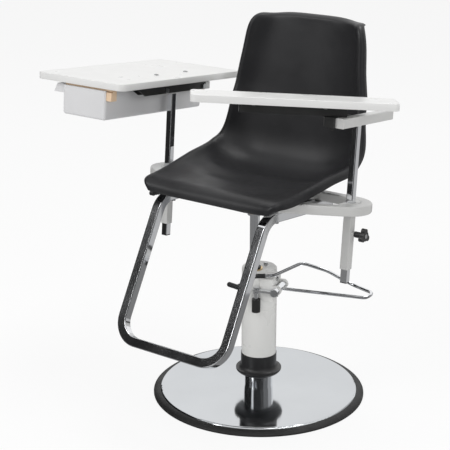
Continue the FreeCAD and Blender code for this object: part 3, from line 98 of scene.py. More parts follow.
# Screw recesses and knob inserts
TABLE_SCREW_X = -0.353
TABLE_SCREW_ROWS = (-0.051, 0.080)
TABLE_SCREW_LEVEL = 0.8727
CROSS_WIDTH = 1.4 * MM
CROSS_DEPTH = 0.5 * MM
CROSS_REACH = 2.2 * MM
CROSS_CORE = 0.8 * MM
CROSS_ROUND = 0.12 * MM
KNOB_FACE_X = 0.3553
KNOB_LEVEL = 0.537
INSERT_RADIUS = 5.5 * MM
INSERT_DEPTH = 1.6 * MM
INSERT_RIM = 1.6 * MM
INSERT_SINK = 0.6 * MM
INSERT_ROUND = 0.25 * MM

# Modelling: sides of the turned pieces, and the tests that pick edges and faces
TURNED_SIDES = 32
SQUARE_ON = 0.9
NO_LENGTH = 1e-5

# Sockets of a mix node when it mixes colours
MIX_FIRST = 6
MIX_SECOND = 7
MIX_RESULT = 2

# Finishes
GRAIN_HEIGHT = 0.0006
NOISE_LOW = 0.3
NOISE_HIGH = 0.7
DUST_FACING = 0.4
DUST_PATCHES = 14.0
DUST_COLOUR = (0.42, 0.41, 0.39, 1)
COAT_ROUGHNESS = 0.12
SHEET_DIP = 0.085
SHEET_WAVE = 0.0012
SHEET_WAVE_SCALE = 6.0

# Stage
FLOOR_LEVEL = -0.0006
FLOOR_RADIUS = 30.0
FLOOR_STEPS = 96
FLAG_LEVEL = -0.0003
FLAG_RADIUS = 3.0
SENSOR_WIDTH = 36.0
CLIP_END = 50.0

# Everything on the ram is drawn upright and then leaned about an X axis
LEANED = (Matrix.Translation((0, 0, LEAN_LEVEL)) @ Matrix.Rotation(-LEAN, 4, "X")
          @ Matrix.Translation((0, 0, -LEAN_LEVEL)))
# The arm is drawn straight across the lap and turned about its pivot before the lean
SWUNG = (LEANED @ Matrix.Translation((ARM_PIVOT[0], ARM_PIVOT[1], 0))
         @ Matrix.Rotation(ARM_TURN, 4, "Z")
         @ Matrix.Translation((-ARM_PIVOT[0], -ARM_PIVOT[1], 0)))
STANDING = Matrix.Identity(4)
# The pedal and its linkage are drawn along X and turned about the column
PEDAL_TURNED = Matrix.Rotation(PEDAL_TURN, 4, "Z")


class ChairFinishes(bpy.types.PropertyGroup):
    """Colours and gloss of the chair's finishes."""

    shell: FloatVectorProperty(
        name="Shell", description="Moulded seat shell", subtype="COLOR", size=3,
        default=(0.017, 0.017, 0.0185), min=0, max=1)
    shell_gloss: FloatProperty(
        name="Shell roughness", description="Roughness of the seat shell", subtype="FACTOR",
        default=0.36, min=0, max=1)
    frame_paint: FloatVectorProperty(
        name="Frame paint", description="Light grey paint of hoops, sleeves and level tubes",
        subtype="COLOR", size=3, default=(0.57, 0.57, 0.56), min=0, max=1)
    laminate: FloatVectorProperty(
        name="Laminate", description="Table and arm board", subtype="COLOR", size=3,
        default=(0.79, 0.79, 0.78), min=0, max=1)
    band: FloatVectorProperty(
        name="Edge band", description="Moulding round the boards", subtype="COLOR", size=3,
        default=(0.78, 0.78, 0.77), min=0, max=1)
    pump: FloatVectorProperty(
        name="Pump enamel", description="Pump housings", subtype="COLOR", size=3,
        default=(0.80, 0.80, 0.78), min=0, max=1)
    drawer: FloatVectorProperty(
        name="Drawer", description="Moulded drawer", subtype="COLOR", size=3,
        default=(0.72, 0.72, 0.73), min=0, max=1)
    wood: FloatVectorProperty(
        name="Runner wood", description="Raw wood of the drawer's runners", subtype="COLOR", size=3,
        default=(0.66, 0.40, 0.24), min=0, max=1)
    chrome: FloatVectorProperty(
        name="Chrome", description="Chrome plate", subtype="COLOR", size=3,
        default=(0.82, 0.83, 0.85), min=0, max=1)
    plate: FloatVectorProperty(
        name="Base plate", description="Bright cover of the base", subtype="COLOR", size=3,
        default=(0.63, 0.65, 0.67), min=0, max=1)
    black_paint: FloatVectorProperty(
        name="Black paint", description="Painted black metal", subtype="COLOR", size=3,
        default=(0.018, 0.018, 0.018), min=0, max=1)


class ChairTrims(bpy.types.PropertyGroup):
    """Sizes of the small trims."""

    band_thickness: FloatProperty(
        name="Band thickness", description="How far the edge band stands out", unit="LENGTH",
        subtype="DISTANCE", default=0.8 * MM, min=0.2 * MM, max=3 * MM)
    bead_radius: FloatProperty(
        name="Weld bead", description="Radius of the weld beads", unit="LENGTH", subtype="DISTANCE",
        default=1.5 * MM, min=0.5 * MM, max=4 * MM)
    seam_radius: FloatProperty(
        name="Seam ring", description="Radius of the ring at the pump's seams", unit="LENGTH",
        subtype="DISTANCE", default=0.8 * MM, min=0.3 * MM, max=3 * MM)
    ring_steps: IntProperty(
        name="Ring steps", description="Steps round each turned trim", default=64, min=24, max=160)


class ChairStage(bpy.types.PropertyGroup):
    """Camera, lamps and floor."""

    lens: FloatProperty(
        name="Lens", description="Focal length on a 36 mm sensor", unit="CAMERA", default=104.3,
        min=20, max=300)
    azimuth: FloatProperty(
        name="Azimuth", description="The camera's turn round the chair from the front",
        unit="ROTATION", subtype="ANGLE", default=math.radians(36.7))
    pitch: FloatProperty(
        name="Pitch", description="The camera's height above the horizon", unit="ROTATION",
        subtype="ANGLE", default=math.radians(18.0))
    distance: FloatProperty(
        name="Distance", description="From the camera to its target", unit="LENGTH",
        subtype="DISTANCE", default=3.594, min=0.5, max=20)
    target_side: FloatProperty(
        name="Target side", description="Target's offset to the camera's right", unit="LENGTH",
        subtype="DISTANCE", default=-0.096)
    target_height: FloatProperty(
        name="Target height", description="Target's height", unit="LENGTH", subtype="DISTANCE",
        default=0.495)
    key_power: FloatProperty(
        name="Key", description="Power of the large lamp", unit="POWER", default=170.0, min=0)
    fill_power: FloatProperty(
        name="Fill", description="Power of the side lamp", unit="POWER", default=85.0, min=0)
    top_power: FloatProperty(
        name="Top", description="Power of the overhead lamp", unit="POWER", default=95.0, min=0)
    room_light: FloatProperty(
        name="Room light", description="Strength of the room's even light", default=0.42,
        min=0, max=2)
    floor_glow_share: FloatProperty(
        name="Floor glow share",
        description="How much of the floor fades into the white background",
        subtype="FACTOR", default=0.86, min=0, max=1)
    flag_level: FloatProperty(
        name="Floor flag", description="How bright the grey card round the base looks in chrome",
        default=0.22, min=0, max=1)
    floor_colour: FloatVectorProperty(
        name="Floor", description="Floor colour", subtype="COLOR", size=3,
        default=(0.9, 0.9, 0.9), min=0, max=1)


def deselect():
    """Clear the selection before a new primitive is added."""
    if bpy.context.object and bpy.context.object.mode != "OBJECT":
        bpy.ops.object.mode_set(mode="OBJECT")
    bpy.ops.object.select_all(action="DESELECT")


def pick(obj):
    """Make one object the selected and active one."""
    deselect()
    obj.select_set(True)
    bpy.context.view_layer.objects.active = obj


def set_down(obj, matrix=STANDING):
    """Bake an object's place and a drawing matrix into its mesh."""
    pick(obj)
    obj.matrix_world = matrix @ obj.matrix_world
    bpy.ops.object.transform_apply(location=True, rotation=True, scale=True)


def choose(obj, elements, wanted):
    """In edit mode, select the vertices, edges or faces that a test picks."""
    bpy.ops.object.mode_set(mode="EDIT")
    bpy.ops.mesh.select_all(action="DESELECT")
    bpy.ops.mesh.select_mode(type=elements)
    bpy.ops.object.mode_set(mode="OBJECT")
    groups = {"VERT": obj.data.vertices, "EDGE": obj.data.edges, "FACE": obj.data.polygons}
    for element in groups[elements]:
        element.select = bool(wanted(element))
    bpy.ops.object.mode_set(mode="EDIT")


def add_modifier(obj, kind, **values):
    """Add a modifier, set it and apply it."""
    pick(obj)
    modifier = obj.modifiers.new(kind.lower(), kind)
    for name, value in values.items():
        setattr(modifier, name, value)
    bpy.ops.object.modifier_apply(modifier=modifier.name)


def finish_piece(obj, name, material, body, angle=35.0):
    """Name a piece, smooth it, dress it and let it ride on its body."""
    pick(obj)
    obj.name = name
    obj.data.name = name
    bpy.ops.object.shade_smooth_by_angle(angle=math.radians(angle))
    obj.data.materials.clear()
    obj.data.materials.append(material)
    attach(obj, body)


def socket(group, name, kind, direction, default=None):
    """Give a node group a named socket."""
    made = group.interface.new_socket(name=name, in_out=direction, socket_type=kind)
    if default is not None:
        made.default_value = default


def new_group(name):
    """A shader node group with its input and output nodes."""
    group = bpy.data.node_groups.new(name, "ShaderNodeTree")
    return group, group.nodes.new("NodeGroupInput"), group.nodes.new("NodeGroupOutput")


def object_noise(group, scale, detail=4.0, stretch=(1, 1, 1)):
    """Noise on the piece's own coordinates."""
    place = group.nodes.new("ShaderNodeTexCoord")
    mapping = group.nodes.new("ShaderNodeMapping")
    mapping.inputs["Scale"].default_value = stretch
    noise = group.nodes.new("ShaderNodeTexNoise")
    noise.inputs["Detail"].default_value = detail
    group.links.new(place.outputs["Object"], mapping.inputs["Vector"])
    group.links.new(mapping.outputs["Vector"], noise.inputs["Vector"])
    if isinstance(scale, float):
        noise.inputs["Scale"].default_value = scale
    else:
        group.links.new(scale, noise.inputs["Scale"])
    return noise.outputs["Fac"]


def spread(group, value, low, high):
    """Map the middle of a noise's range between two sockets or numbers."""
    node = group.nodes.new("ShaderNodeMapRange")
    node.inputs["From Min"].default_value = NOISE_LOW
    node.inputs["From Max"].default_value = NOISE_HIGH
    group.links.new(value, node.inputs["Value"])
    for name, bound in (("To Min", low), ("To Max", high)):
        if isinstance(bound, (int, float)):
            node.inputs[name].default_value = bound
        else:
            group.links.new(bound, node.inputs[name])
    return node.outputs["Result"]


def build_colour_drift():
    """Slow drift of a colour over a piece, with a little dust on what faces up."""
    group, start, end = new_group("colour_drift")
    socket(group, "Colour", "NodeSocketColor", "INPUT")
    socket(group, "Other", "NodeSocketColor", "INPUT")
    socket(group, "Scale", "NodeSocketFloat", "INPUT", 6.0)
    socket(group, "Dust", "NodeSocketFloat", "INPUT", 0.0)
    socket(group, "Colour", "NodeSocketColor", "OUTPUT")
    noise = object_noise(group, start.outputs["Scale"])
    amount = spread(group, noise, 0.0, 1.0)
    mix = group.nodes.new("ShaderNodeMix")
    mix.data_type = "RGBA"
    group.links.new(amount, mix.inputs["Factor"])
    group.links.new(start.outputs["Colour"], mix.inputs[MIX_FIRST])
    group.links.new(start.outputs["Other"], mix.inputs[MIX_SECOND])
    geometry = group.nodes.new("ShaderNodeNewGeometry")
    parts = group.nodes.new("ShaderNodeSeparateXYZ")
    group.links.new(geometry.outputs["Normal"], parts.inputs["Vector"])
    facing = group.nodes.new("ShaderNodeMapRange")
    facing.inputs["From Min"].default_value = DUST_FACING
    facing.inputs["From Max"].default_value = 1.0
    group.links.new(parts.outputs["Z"], facing.inputs["Value"])
    dusty = group.nodes.new("ShaderNodeMath")
    dusty.operation = "MULTIPLY"
    group.links.new(facing.outputs["Result"], dusty.inputs[0])
    group.links.new(start.outputs["Dust"], dusty.inputs[1])
    patchy = group.nodes.new("ShaderNodeMath")
    patchy.operation = "MULTIPLY"
    group.links.new(dusty.outputs["Value"], patchy.inputs[0])
    group.links.new(object_noise(group, DUST_PATCHES), patchy.inputs[1])
    dust_mix = group.nodes.new("ShaderNodeMix")
    dust_mix.data_type = "RGBA"
    dust_mix.inputs[MIX_SECOND].default_value = DUST_COLOUR
    group.links.new(patchy.outputs["Value"], dust_mix.inputs["Factor"])
    group.links.new(mix.outputs[MIX_RESULT], dust_mix.inputs[MIX_FIRST])
    group.links.new(dust_mix.outputs[MIX_RESULT], end.inputs["Colour"])
    return group


def build_gloss_drift():
    """Roughness that varies as it does on a handled surface."""
    group, start, end = new_group("gloss_drift")
    socket(group, "Low", "NodeSocketFloat", "INPUT", 0.3)
    socket(group, "High", "NodeSocketFloat", "INPUT", 0.4)
    socket(group, "Scale", "NodeSocketFloat", "INPUT", 20.0)
    socket(group, "Roughness", "NodeSocketFloat", "OUTPUT")
    noise = object_noise(group, start.outputs["Scale"])
    result = spread(group, noise, start.outputs["Low"], start.outputs["High"])
    group.links.new(result, end.inputs["Roughness"])
    return group


def build_fine_grain():
    """Height of a fine even grain."""
    group, start, end = new_group("fine_grain")
    socket(group, "Scale", "NodeSocketFloat", "INPUT", 900.0)
    socket(group, "Height", "NodeSocketFloat", "OUTPUT")
    noise = object_noise(group, start.outputs["Scale"], 2.0)
    group.links.new(noise, end.inputs["Height"])
    return group


def build_sheet_waves():
    """Height of a pressed sheet that dips a little to its middle, with faint slow waves."""
    group, start, end = new_group("sheet_waves")
    socket(group, "Dip", "NodeSocketFloat", "INPUT", 0.04)
    socket(group, "Wave", "NodeSocketFloat", "INPUT", 0.0003)
    socket(group, "Height", "NodeSocketFloat", "OUTPUT")
    place = group.nodes.new("ShaderNodeTexCoord")
    flat = group.nodes.new("ShaderNodeMapping")
    flat.inputs["Scale"].default_value = (1, 1, 0)
    group.links.new(place.outputs["Object"], flat.inputs["Vector"])
    radius = group.nodes.new("ShaderNodeVectorMath")
    radius.operation = "LENGTH"
    group.links.new(flat.outputs["Vector"], radius.inputs[0])
    dip = group.nodes.new("ShaderNodeMath")
    dip.operation = "MULTIPLY"
    group.links.new(radius.outputs["Value"], dip.inputs[0])
    group.links.new(start.outputs["Dip"], dip.inputs[1])
    wave = group.nodes.new("ShaderNodeMath")
    wave.operation = "MULTIPLY_ADD"
    group.links.new(object_noise(group, SHEET_WAVE_SCALE, 1.0), wave.inputs[0])
    group.links.new(start.outputs["Wave"], wave.inputs[1])
    group.links.new(dip.outputs["Value"], wave.inputs[2])
    group.links.new(wave.outputs["Value"], end.inputs["Height"])
    return group


def make_sheet_chrome(name, colour, dip, wave):
    """Chrome plate on a pressed sheet, whose mirror is not quite true."""
    material = make_finish(name, colour, 0.05, 0.1, metallic=1.0, drift=0.94, dust=0.0,
                           gloss_scale=5.0, grain_depth=0.0)
    tree = material.node_tree
    waves = tree.nodes.new("ShaderNodeGroup")
    waves.node_tree = effect("sheet_waves", build_sheet_waves)
    waves.inputs["Dip"].default_value = dip
    waves.inputs["Wave"].default_value = wave
    bump = tree.nodes.new("ShaderNodeBump")
    bump.inputs["Distance"].default_value = 1.0
    tree.links.new(waves.outputs["Height"], bump.inputs["Height"])
    tree.links.new(bump.outputs["Normal"], tree.nodes["Principled BSDF"].inputs["Normal"])
    return material


def build_wood_figure():
    """Long grain of planed softwood along X."""
    group, start, end = new_group("wood_figure")
    socket(group, "Early wood", "NodeSocketColor", "INPUT")
    socket(group, "Late wood", "NodeSocketColor", "INPUT")
    socket(group, "Colour", "NodeSocketColor", "OUTPUT")
    socket(group, "Height", "NodeSocketFloat", "OUTPUT")
    place = group.nodes.new("ShaderNodeTexCoord")
    mapping = group.nodes.new("ShaderNodeMapping")
    mapping.inputs["Scale"].default_value = (0.12, 1, 1)
    wave = group.nodes.new("ShaderNodeTexWave")
    wave.bands_direction = "DIAGONAL"
    wave.inputs["Scale"].default_value = 90.0
    wave.inputs["Distortion"].default_value = 5.0
    wave.inputs["Detail"].default_value = 3.0
    group.links.new(place.outputs["Object"], mapping.inputs["Vector"])
    group.links.new(mapping.outputs["Vector"], wave.inputs["Vector"])
    mix = group.nodes.new("ShaderNodeMix")
    mix.data_type = "RGBA"
    group.links.new(wave.outputs["Fac"], mix.inputs["Factor"])
    group.links.new(start.outputs["Early wood"], mix.inputs[MIX_FIRST])
    group.links.new(start.outputs["Late wood"], mix.inputs[MIX_SECOND])
    group.links.new(mix.outputs[MIX_RESULT], end.inputs["Colour"])
    group.links.new(wave.outputs["Fac"], end.inputs["Height"])
    return group


def effect(name, build):
    """A shared node group, built the first time it is wanted."""
    return bpy.data.node_groups.get(name) or build()


def shade(colour, factor):
    """A colour made darker or lighter."""
    return tuple(min(1.0, channel * factor) for channel in colour[:3]) + (1.0,)


def make_finish(name, colour, low, high, metallic=0.0, drift=0.9, drift_scale=5.0, dust=0.0,
                gloss_scale=18.0, grain_scale=700.0, grain_depth=0.05, coat=0.0, specular=0.5):
    """A material: drifting colour, handled gloss and a fine grain on one Principled shader."""
    material = bpy.data.materials.new(name)
    material.use_nodes = True
    tree = material.node_tree
    shader = tree.nodes["Principled BSDF"]
    shader.inputs["Metallic"].default_value = metallic
    shader.inputs["Coat Weight"].default_value = coat
    shader.inputs["Coat Roughness"].default_value = COAT_ROUGHNESS
    shader.inputs["Specular IOR Level"].default_value = specular
    tint = tree.nodes.new("ShaderNodeGroup")
    tint.node_tree = effect("colour_drift", build_colour_drift)
    tint.inputs["Colour"].default_value = shade(colour, 1.0)
    tint.inputs["Other"].default_value = shade(colour, drift)
    tint.inputs["Scale"].default_value = drift_scale
    tint.inputs["Dust"].default_value = dust
    tree.links.new(tint.outputs["Colour"], shader.inputs["Base Color"])
    gloss = tree.nodes.new("ShaderNodeGroup")
    gloss.node_tree = effect("gloss_drift", build_gloss_drift)
    gloss.inputs["Low"].default_value = low
    gloss.inputs["High"].default_value = high
    gloss.inputs["Scale"].default_value = gloss_scale
    tree.links.new(gloss.outputs["Roughness"], shader.inputs["Roughness"])
    if grain_depth > 0:
        grain = tree.nodes.new("ShaderNodeGroup")
        grain.node_tree = effect("fine_grain", build_fine_grain)
        grain.inputs["Scale"].default_value = grain_scale
        bump = tree.nodes.new("ShaderNodeBump")
        bump.inputs["Strength"].default_value = grain_depth
        bump.inputs["Distance"].default_value = GRAIN_HEIGHT
        tree.links.new(grain.outputs["Height"], bump.inputs["Height"])
        tree.links.new(bump.outputs["Normal"], shader.inputs["Normal"])
    return material


def make_wood(name, colour):
    """Raw softwood."""
    material = bpy.data.materials.new(name)
    material.use_nodes = True
    tree = material.node_tree
    shader = tree.nodes["Principled BSDF"]
    shader.inputs["Roughness"].default_value = 0.7
    figure = tree.nodes.new("ShaderNodeGroup")
    figure.node_tree = effect("wood_figure", build_wood_figure)
    figure.inputs["Early wood"].default_value = shade(colour, 1.15)
    figure.inputs["Late wood"].default_value = shade(colour, 0.72)
    tree.links.new(figure.outputs["Colour"], shader.inputs["Base Color"])
    bump = tree.nodes.new("ShaderNodeBump")
    bump.inputs["Strength"].default_value = 0.25
    bump.inputs["Distance"].default_value = GRAIN_HEIGHT
    tree.links.new(figure.outputs["Height"], bump.inputs["Height"])
    tree.links.new(bump.outputs["Normal"], shader.inputs["Normal"])
    return material


def finish(name):
    """A finish by name, made the first time it is wanted."""
    made = bpy.data.materials.get(name)
    if made:
        return made
    colours = bpy.context.scene.chair_finishes
    makers = {
        "shell_plastic": lambda: make_finish(
            name, colours.shell, colours.shell_gloss - 0.04, colours.shell_gloss + 0.07, drift=1.25,
            drift_scale=7.0, dust=0.0, grain_scale=1500.0, grain_depth=0.2, specular=0.3),
        "chrome": lambda: make_finish(
            name, colours.chrome, 0.035, 0.09, metallic=1.0, drift=0.95, dust=0.02,
            gloss_scale=9.0, grain_depth=0.0),
        "plate_chrome": lambda: make_sheet_chrome(name, colours.plate, SHEET_DIP, SHEET_WAVE),
        "frame_paint": lambda: make_finish(
            name, colours.frame_paint, 0.3, 0.38, drift=0.96, dust=0.0, grain_scale=700.0,
            grain_depth=0.05, coat=0.2),
        "black_paint": lambda: make_finish(
            name, colours.black_paint, 0.28, 0.42, drift=1.5, dust=0.05, grain_scale=450.0,
            grain_depth=0.15),
        "laminate": lambda: make_finish(
            name, colours.laminate, 0.26, 0.38, drift=0.985, drift_scale=3.0, dust=0.0,
            grain_scale=1200.0, grain_depth=0.05),
        "edge_band": lambda: make_finish(
            name, colours.band, 0.35, 0.45, drift=0.95, dust=0.03, grain_scale=900.0,
            grain_depth=0.06),
        "pump_enamel": lambda: make_finish(
            name, colours.pump, 0.26, 0.32, drift=0.985, drift_scale=3.0, dust=0.0,
            grain_scale=600.0, grain_depth=0.02, coat=0.3),
        "drawer_plastic": lambda: make_finish(
            name, colours.drawer, 0.34, 0.46, drift=0.95, dust=0.05, grain_scale=1100.0,
            grain_depth=0.1),
        "runner_wood": lambda: make_wood(name, colours.wood),
        "rubber": lambda: make_finish(
            name, (0.009, 0.009, 0.009), 0.42, 0.55, drift=1.4, dust=0.0, grain_scale=800.0,
            grain_depth=0.2, specular=0.35),
        "black_nylon": lambda: make_finish(
            name, (0.016, 0.016, 0.017), 0.34, 0.46, drift=1.4, dust=0.05, grain_scale=1300.0,
            grain_depth=0.15),
        "zinc": lambda: make_finish(
            name, (0.55, 0.56, 0.57), 0.24, 0.4, metallic=1.0, drift=0.86, drift_scale=30.0,
            grain_scale=900.0, grain_depth=0.1),
        "bronze": lambda: make_finish(
            name, (0.55, 0.38, 0.16), 0.25, 0.38, metallic=1.0, drift=0.8, drift_scale=25.0,
            grain_depth=0.06),
        "casting": lambda: make_finish(
            name, (0.05, 0.05, 0.052), 0.5, 0.7, drift=1.6, grain_scale=160.0, grain_depth=0.5),
    }
    return makers[name]()


NODE_FINISHES = {
    "seat_shell": "shell_plastic",
    "footrest_frame": "chrome", "right_post": "chrome", "left_post": "chrome",
    "pedal_loop": "chrome", "ram_rod": "chrome", "riser_tube": "chrome", "plunger": "chrome",
    "base_plate": "plate_chrome",
    "base_rim": "rubber", "ram_wiper": "rubber",
    "ballast_disc": "casting", "pump_bracket": "pump_enamel", "plunger_barrel": "black_paint",
    "pump_rocker": "chrome", "pivot_bolt": "black_paint",
    "column_collar": "black_nylon", "release_lever": "black_nylon",
    "pump_lower": "pump_enamel", "pump_head": "pump_enamel",
    "right_hoop": "frame_paint", "left_hoop": "frame_paint", "right_sleeve": "frame_paint",
    "left_sleeve": "frame_paint", "arm_tube": "frame_paint", "table_tube": "frame_paint",
    "pivot_block": "black_paint", "arm_rail": "black_paint", "table_bracket": "black_paint",
    "carrier_plate": "black_paint", "cross_rails": "black_paint", "swivel_hub": "black_paint",
    "arm_board": "laminate", "table_top": "laminate",
    "drawer_bin": "drawer_plastic", "drawer_runners": "runner_wood",
    "frame_plugs": "black_nylon", "right_post_plug": "black_nylon", "left_post_plug": "black_nylon",
    "arm_tube_caps": "frame_paint", "table_tube_caps": "frame_paint", "rail_caps": "black_nylon",
    "right_knob": "black_nylon", "left_knob": "black_nylon",
    "ram_gland": "bronze", "thrust_washer": "bronze",
}


class CHAIR_OT_dress_nodes(bpy.types.Operator):
    """Give every CAD node its finish"""

    bl_idname = "chair.dress_nodes"
    bl_label = "Dress the nodes"

    def execute(self, context):
        for name, node in NODES.items():
            material = finish(NODE_FINISHES.get(name, "zinc"))
            node.data.materials.clear()
            node.data.materials.append(material)
        return {"FINISHED"}


def length_along_z(obj, edge):
    """How far an edge runs up or down."""
    first, second = (obj.data.vertices[index].co for index in edge.vertices)
    return abs((first - second).z)


def edge_band(name, centre, size, corner, matrix, body):
    """A moulding round a board's edge: a cube's walls, rounded at the corners and thickened."""
    trims = bpy.context.scene.chair_trims
    deselect()
    bpy.ops.mesh.primitive_cube_add(size=1, location=centre)
    band = bpy.context.object
    band.scale = (size[0], size[1], size[2] - 2 * trims.band_thickness)
    bpy.ops.object.transform_apply(location=False, rotation=False, scale=True)
    choose(band, "EDGE", lambda edge: length_along_z(band, edge) > NO_LENGTH)
    bpy.ops.mesh.bevel(offset=corner, segments=BAND_CORNER_STEPS, affect="EDGES")
    bpy.ops.object.mode_set(mode="OBJECT")
    choose(band, "FACE", lambda face: abs(face.normal.z) > SQUARE_ON)
    bpy.ops.mesh.delete(type="FACE")
    bpy.ops.mesh.select_all(action="SELECT")
    bpy.ops.mesh.normals_make_consistent(inside=False)
    bpy.ops.object.mode_set(mode="OBJECT")
    add_modifier(band, "SOLIDIFY", thickness=trims.band_thickness, offset=1.0)
    add_modifier(band, "BEVEL", width=trims.band_thickness * BAND_EDGE_SHARE, segments=2,
                 limit_method="ANGLE", angle_limit=math.radians(50))
    set_down(band, matrix)
    finish_piece(band, name, finish("edge_band"), body)


class CHAIR_OT_edge_bands(bpy.types.Operator):
    """Add the mouldings round the table top and the arm board"""

    bl_idname = "chair.edge_bands"
    bl_label = "Edge bands"

    def execute(self, context):
        edge_band("table_band", TABLE_BAND_CENTRE, TABLE_BAND_SIZE, TABLE_BAND_CORNER, LEANED,
                  "table_post")
        board_low = ARM_POST_TOP + TUBE_SIZE + RAIL_WASHER + RAIL_GAP + TUBE_SIZE
        board_centre = (ARM_PIVOT[0] - ARM_BAND_SIDE, ARM_PIVOT[1],
                        board_low + ARM_BAND_SIZE[2] / 2)
        edge_band("board_band", board_centre, ARM_BAND_SIZE, ARM_BAND_CORNER, SWUNG, "arm")
        return {"FINISHED"}


def square_bead(name, centre, width, matrix, body, material):
    """A weld bead round a square tube: a four-sided ring, rippled along its length."""
    radius = bpy.context.scene.chair_trims.bead_radius
    deselect()
    bpy.ops.mesh.primitive_torus_add(
        major_segments=4, minor_segments=RING_SIDES, major_radius=width / math.sqrt(2),
        minor_radius=radius, location=centre, rotation=(0, 0, math.radians(45)))
    bead = bpy.context.object
    bpy.ops.object.transform_apply(location=False, rotation=True, scale=False)
    bpy.ops.object.mode_set(mode="EDIT")
    bpy.ops.mesh.select_all(action="SELECT")
    bpy.ops.mesh.subdivide(number_cuts=3)
    bpy.ops.mesh.vertices_smooth(factor=0.5, repeat=2)
    bpy.ops.object.mode_set(mode="OBJECT")
    set_down(bead, matrix)
    finish_piece(bead, name, material, body, angle=60.0)


def round_ring(name, centre, major, minor, matrix, body, material):
    """A thin turned ring."""
    deselect()
    bpy.ops.mesh.primitive_torus_add(
        major_segments=bpy.context.scene.chair_trims.ring_steps, minor_segments=RING_SIDES,
        major_radius=major, minor_radius=minor, location=centre)
    ring = bpy.context.object
    bpy.ops.object.mode_set(mode="EDIT")
    bpy.ops.mesh.select_all(action="SELECT")
    bpy.ops.transform.resize(value=(1, 1, RING_FLATNESS))
    bpy.ops.object.mode_set(mode="OBJECT")
    set_down(ring, matrix)
    finish_piece(ring, name, material, body, angle=60.0)


class CHAIR_OT_weld_beads(bpy.types.Operator):
    """Add the weld beads between the posts, tubes, sleeves and hub"""

    bl_idname = "chair.weld_beads"
    bl_label = "Weld beads"

    def execute(self, context):
        paint = finish("frame_paint")
        x, y = POST_PLACE
        square_bead("right_post_weld", (x, y, ARM_POST_TOP), POST_BEAD_WIDTH, LEANED,
                    "arm_post", paint)
        square_bead("left_post_weld", (-x, y, TABLE_POST_TOP), POST_BEAD_WIDTH, LEANED,
                    "table_post", paint)
        for side, word in ((1, "right"), (-1, "left")):
            for place, level in (("top", SLEEVE_BEAD_TOP), ("low", SLEEVE_BEAD_LOW)):
                square_bead("%s_sleeve_%s_weld" % (word, place), (side * x, y, level),
                            SLEEVE_BEAD_WIDTH, LEANED, "seat_frame", paint)
        round_ring("hub_weld", HUB_BEAD_CENTRE, HUB_BEAD_RADIUS, HUB_BEAD_THICKNESS, STANDING,
                   "seat_frame", finish("black_paint"))
        return {"FINISHED"}


class CHAIR_OT_pump_rings(bpy.types.Operator):
    """Add the seam ring of the pump and the parting ring of the collar"""

    bl_idname = "chair.pump_rings"
    bl_label = "Pump rings"

    def execute(self, context):
        seam = context.scene.chair_trims.seam_radius
        round_ring("pump_seam_ring", (0, 0, PUMP_SEAM_LEVEL), PUMP_SEAM_RADIUS, seam, STANDING,
                   "base", finish("pump_enamel"))
        round_ring("collar_parting_ring", (0, 0, COLLAR_PARTING_LEVEL), COLLAR_PARTING_RADIUS,
                   seam * COLLAR_PARTING_SHARE, STANDING, "base", finish("black_nylon"))
        return {"FINISHED"}


def screw_cross(name, centre, matrix, body):
    """Painted shade of a screw head's cross recess: a dark cross just proud of the head, in place
    of the shade inside a cut recess.
    """
    deselect()
    bpy.ops.mesh.primitive_cube_add(size=1, location=centre)
    cross = bpy.context.object
    cross.scale = (CROSS_WIDTH, CROSS_WIDTH, CROSS_DEPTH)
    bpy.ops.object.transform_apply(location=False, rotation=False, scale=True)
    for way in (Vector((1, 0, 0)), Vector((-1, 0, 0)), Vector((0, 1, 0)), Vector((0, -1, 0))):
        choose(cross, "FACE", lambda face: face.normal.dot(way) > SQUARE_ON
               and face.center.dot(way) < CROSS_CORE)
        bpy.ops.mesh.extrude_region_move(TRANSFORM_OT_translate={"value": way * CROSS_REACH})
        bpy.ops.object.mode_set(mode="OBJECT")
    add_modifier(cross, "BEVEL", width=CROSS_ROUND, segments=2)
    set_down(cross, matrix)
    # The black paint here is painted shade: it darkens the recess instead of a cut in the head.
    finish_piece(cross, name, finish("black_paint"), body)


class CHAIR_OT_screw_crosses(bpy.types.Operator):
    """Add the painted shade of the table's screw recesses, as dark crosses on the heads"""

    bl_idname = "chair.screw_crosses"
    bl_label = "Screw recesses"

    def execute(self, context):
        for index, y in enumerate(TABLE_SCREW_ROWS):
            screw_cross("table_screw_shade_cross_%d" % (index + 1), (TABLE_SCREW_X, y, TABLE_SCREW_LEVEL),
                        LEANED, "table_post")
        return {"FINISHED"}


def knob_insert(name, centre, side, body):
    """The round metal insert in the middle of a knob's face."""
    deselect()
    bpy.ops.mesh.primitive_cylinder_add(
        vertices=TURNED_SIDES, radius=INSERT_RADIUS, depth=INSERT_DEPTH, location=centre,
        rotation=(0, math.radians(90), 0))
    insert = bpy.context.object
    bpy.ops.object.transform_apply(location=False, rotation=True, scale=False)
    choose(insert, "FACE", lambda face: face.normal.x * side > SQUARE_ON)
    bpy.ops.mesh.inset(thickness=INSERT_RIM)
    bpy.ops.transform.translate(value=(-side * INSERT_SINK, 0, 0))
    bpy.ops.object.mode_set(mode="OBJECT")
    add_modifier(insert, "BEVEL", width=INSERT_ROUND, segments=2, limit_method="ANGLE",
                 angle_limit=math.radians(40))
    set_down(insert, LEANED)
    finish_piece(insert, name, finish("zinc"), body)


class CHAIR_OT_knob_inserts(bpy.types.Operator):
    """Add the metal inserts of the clamp knobs"""

    bl_idname = "chair.knob_inserts"
    bl_label = "Knob inserts"

    def execute(self, context):
        for side, word in ((1, "right"), (-1, "left")):
            knob_insert(word + "_knob_insert", (side * KNOB_FACE_X, POST_PLACE[1], KNOB_LEVEL),
                        side, word + "_clamp")
        return {"FINISHED"}


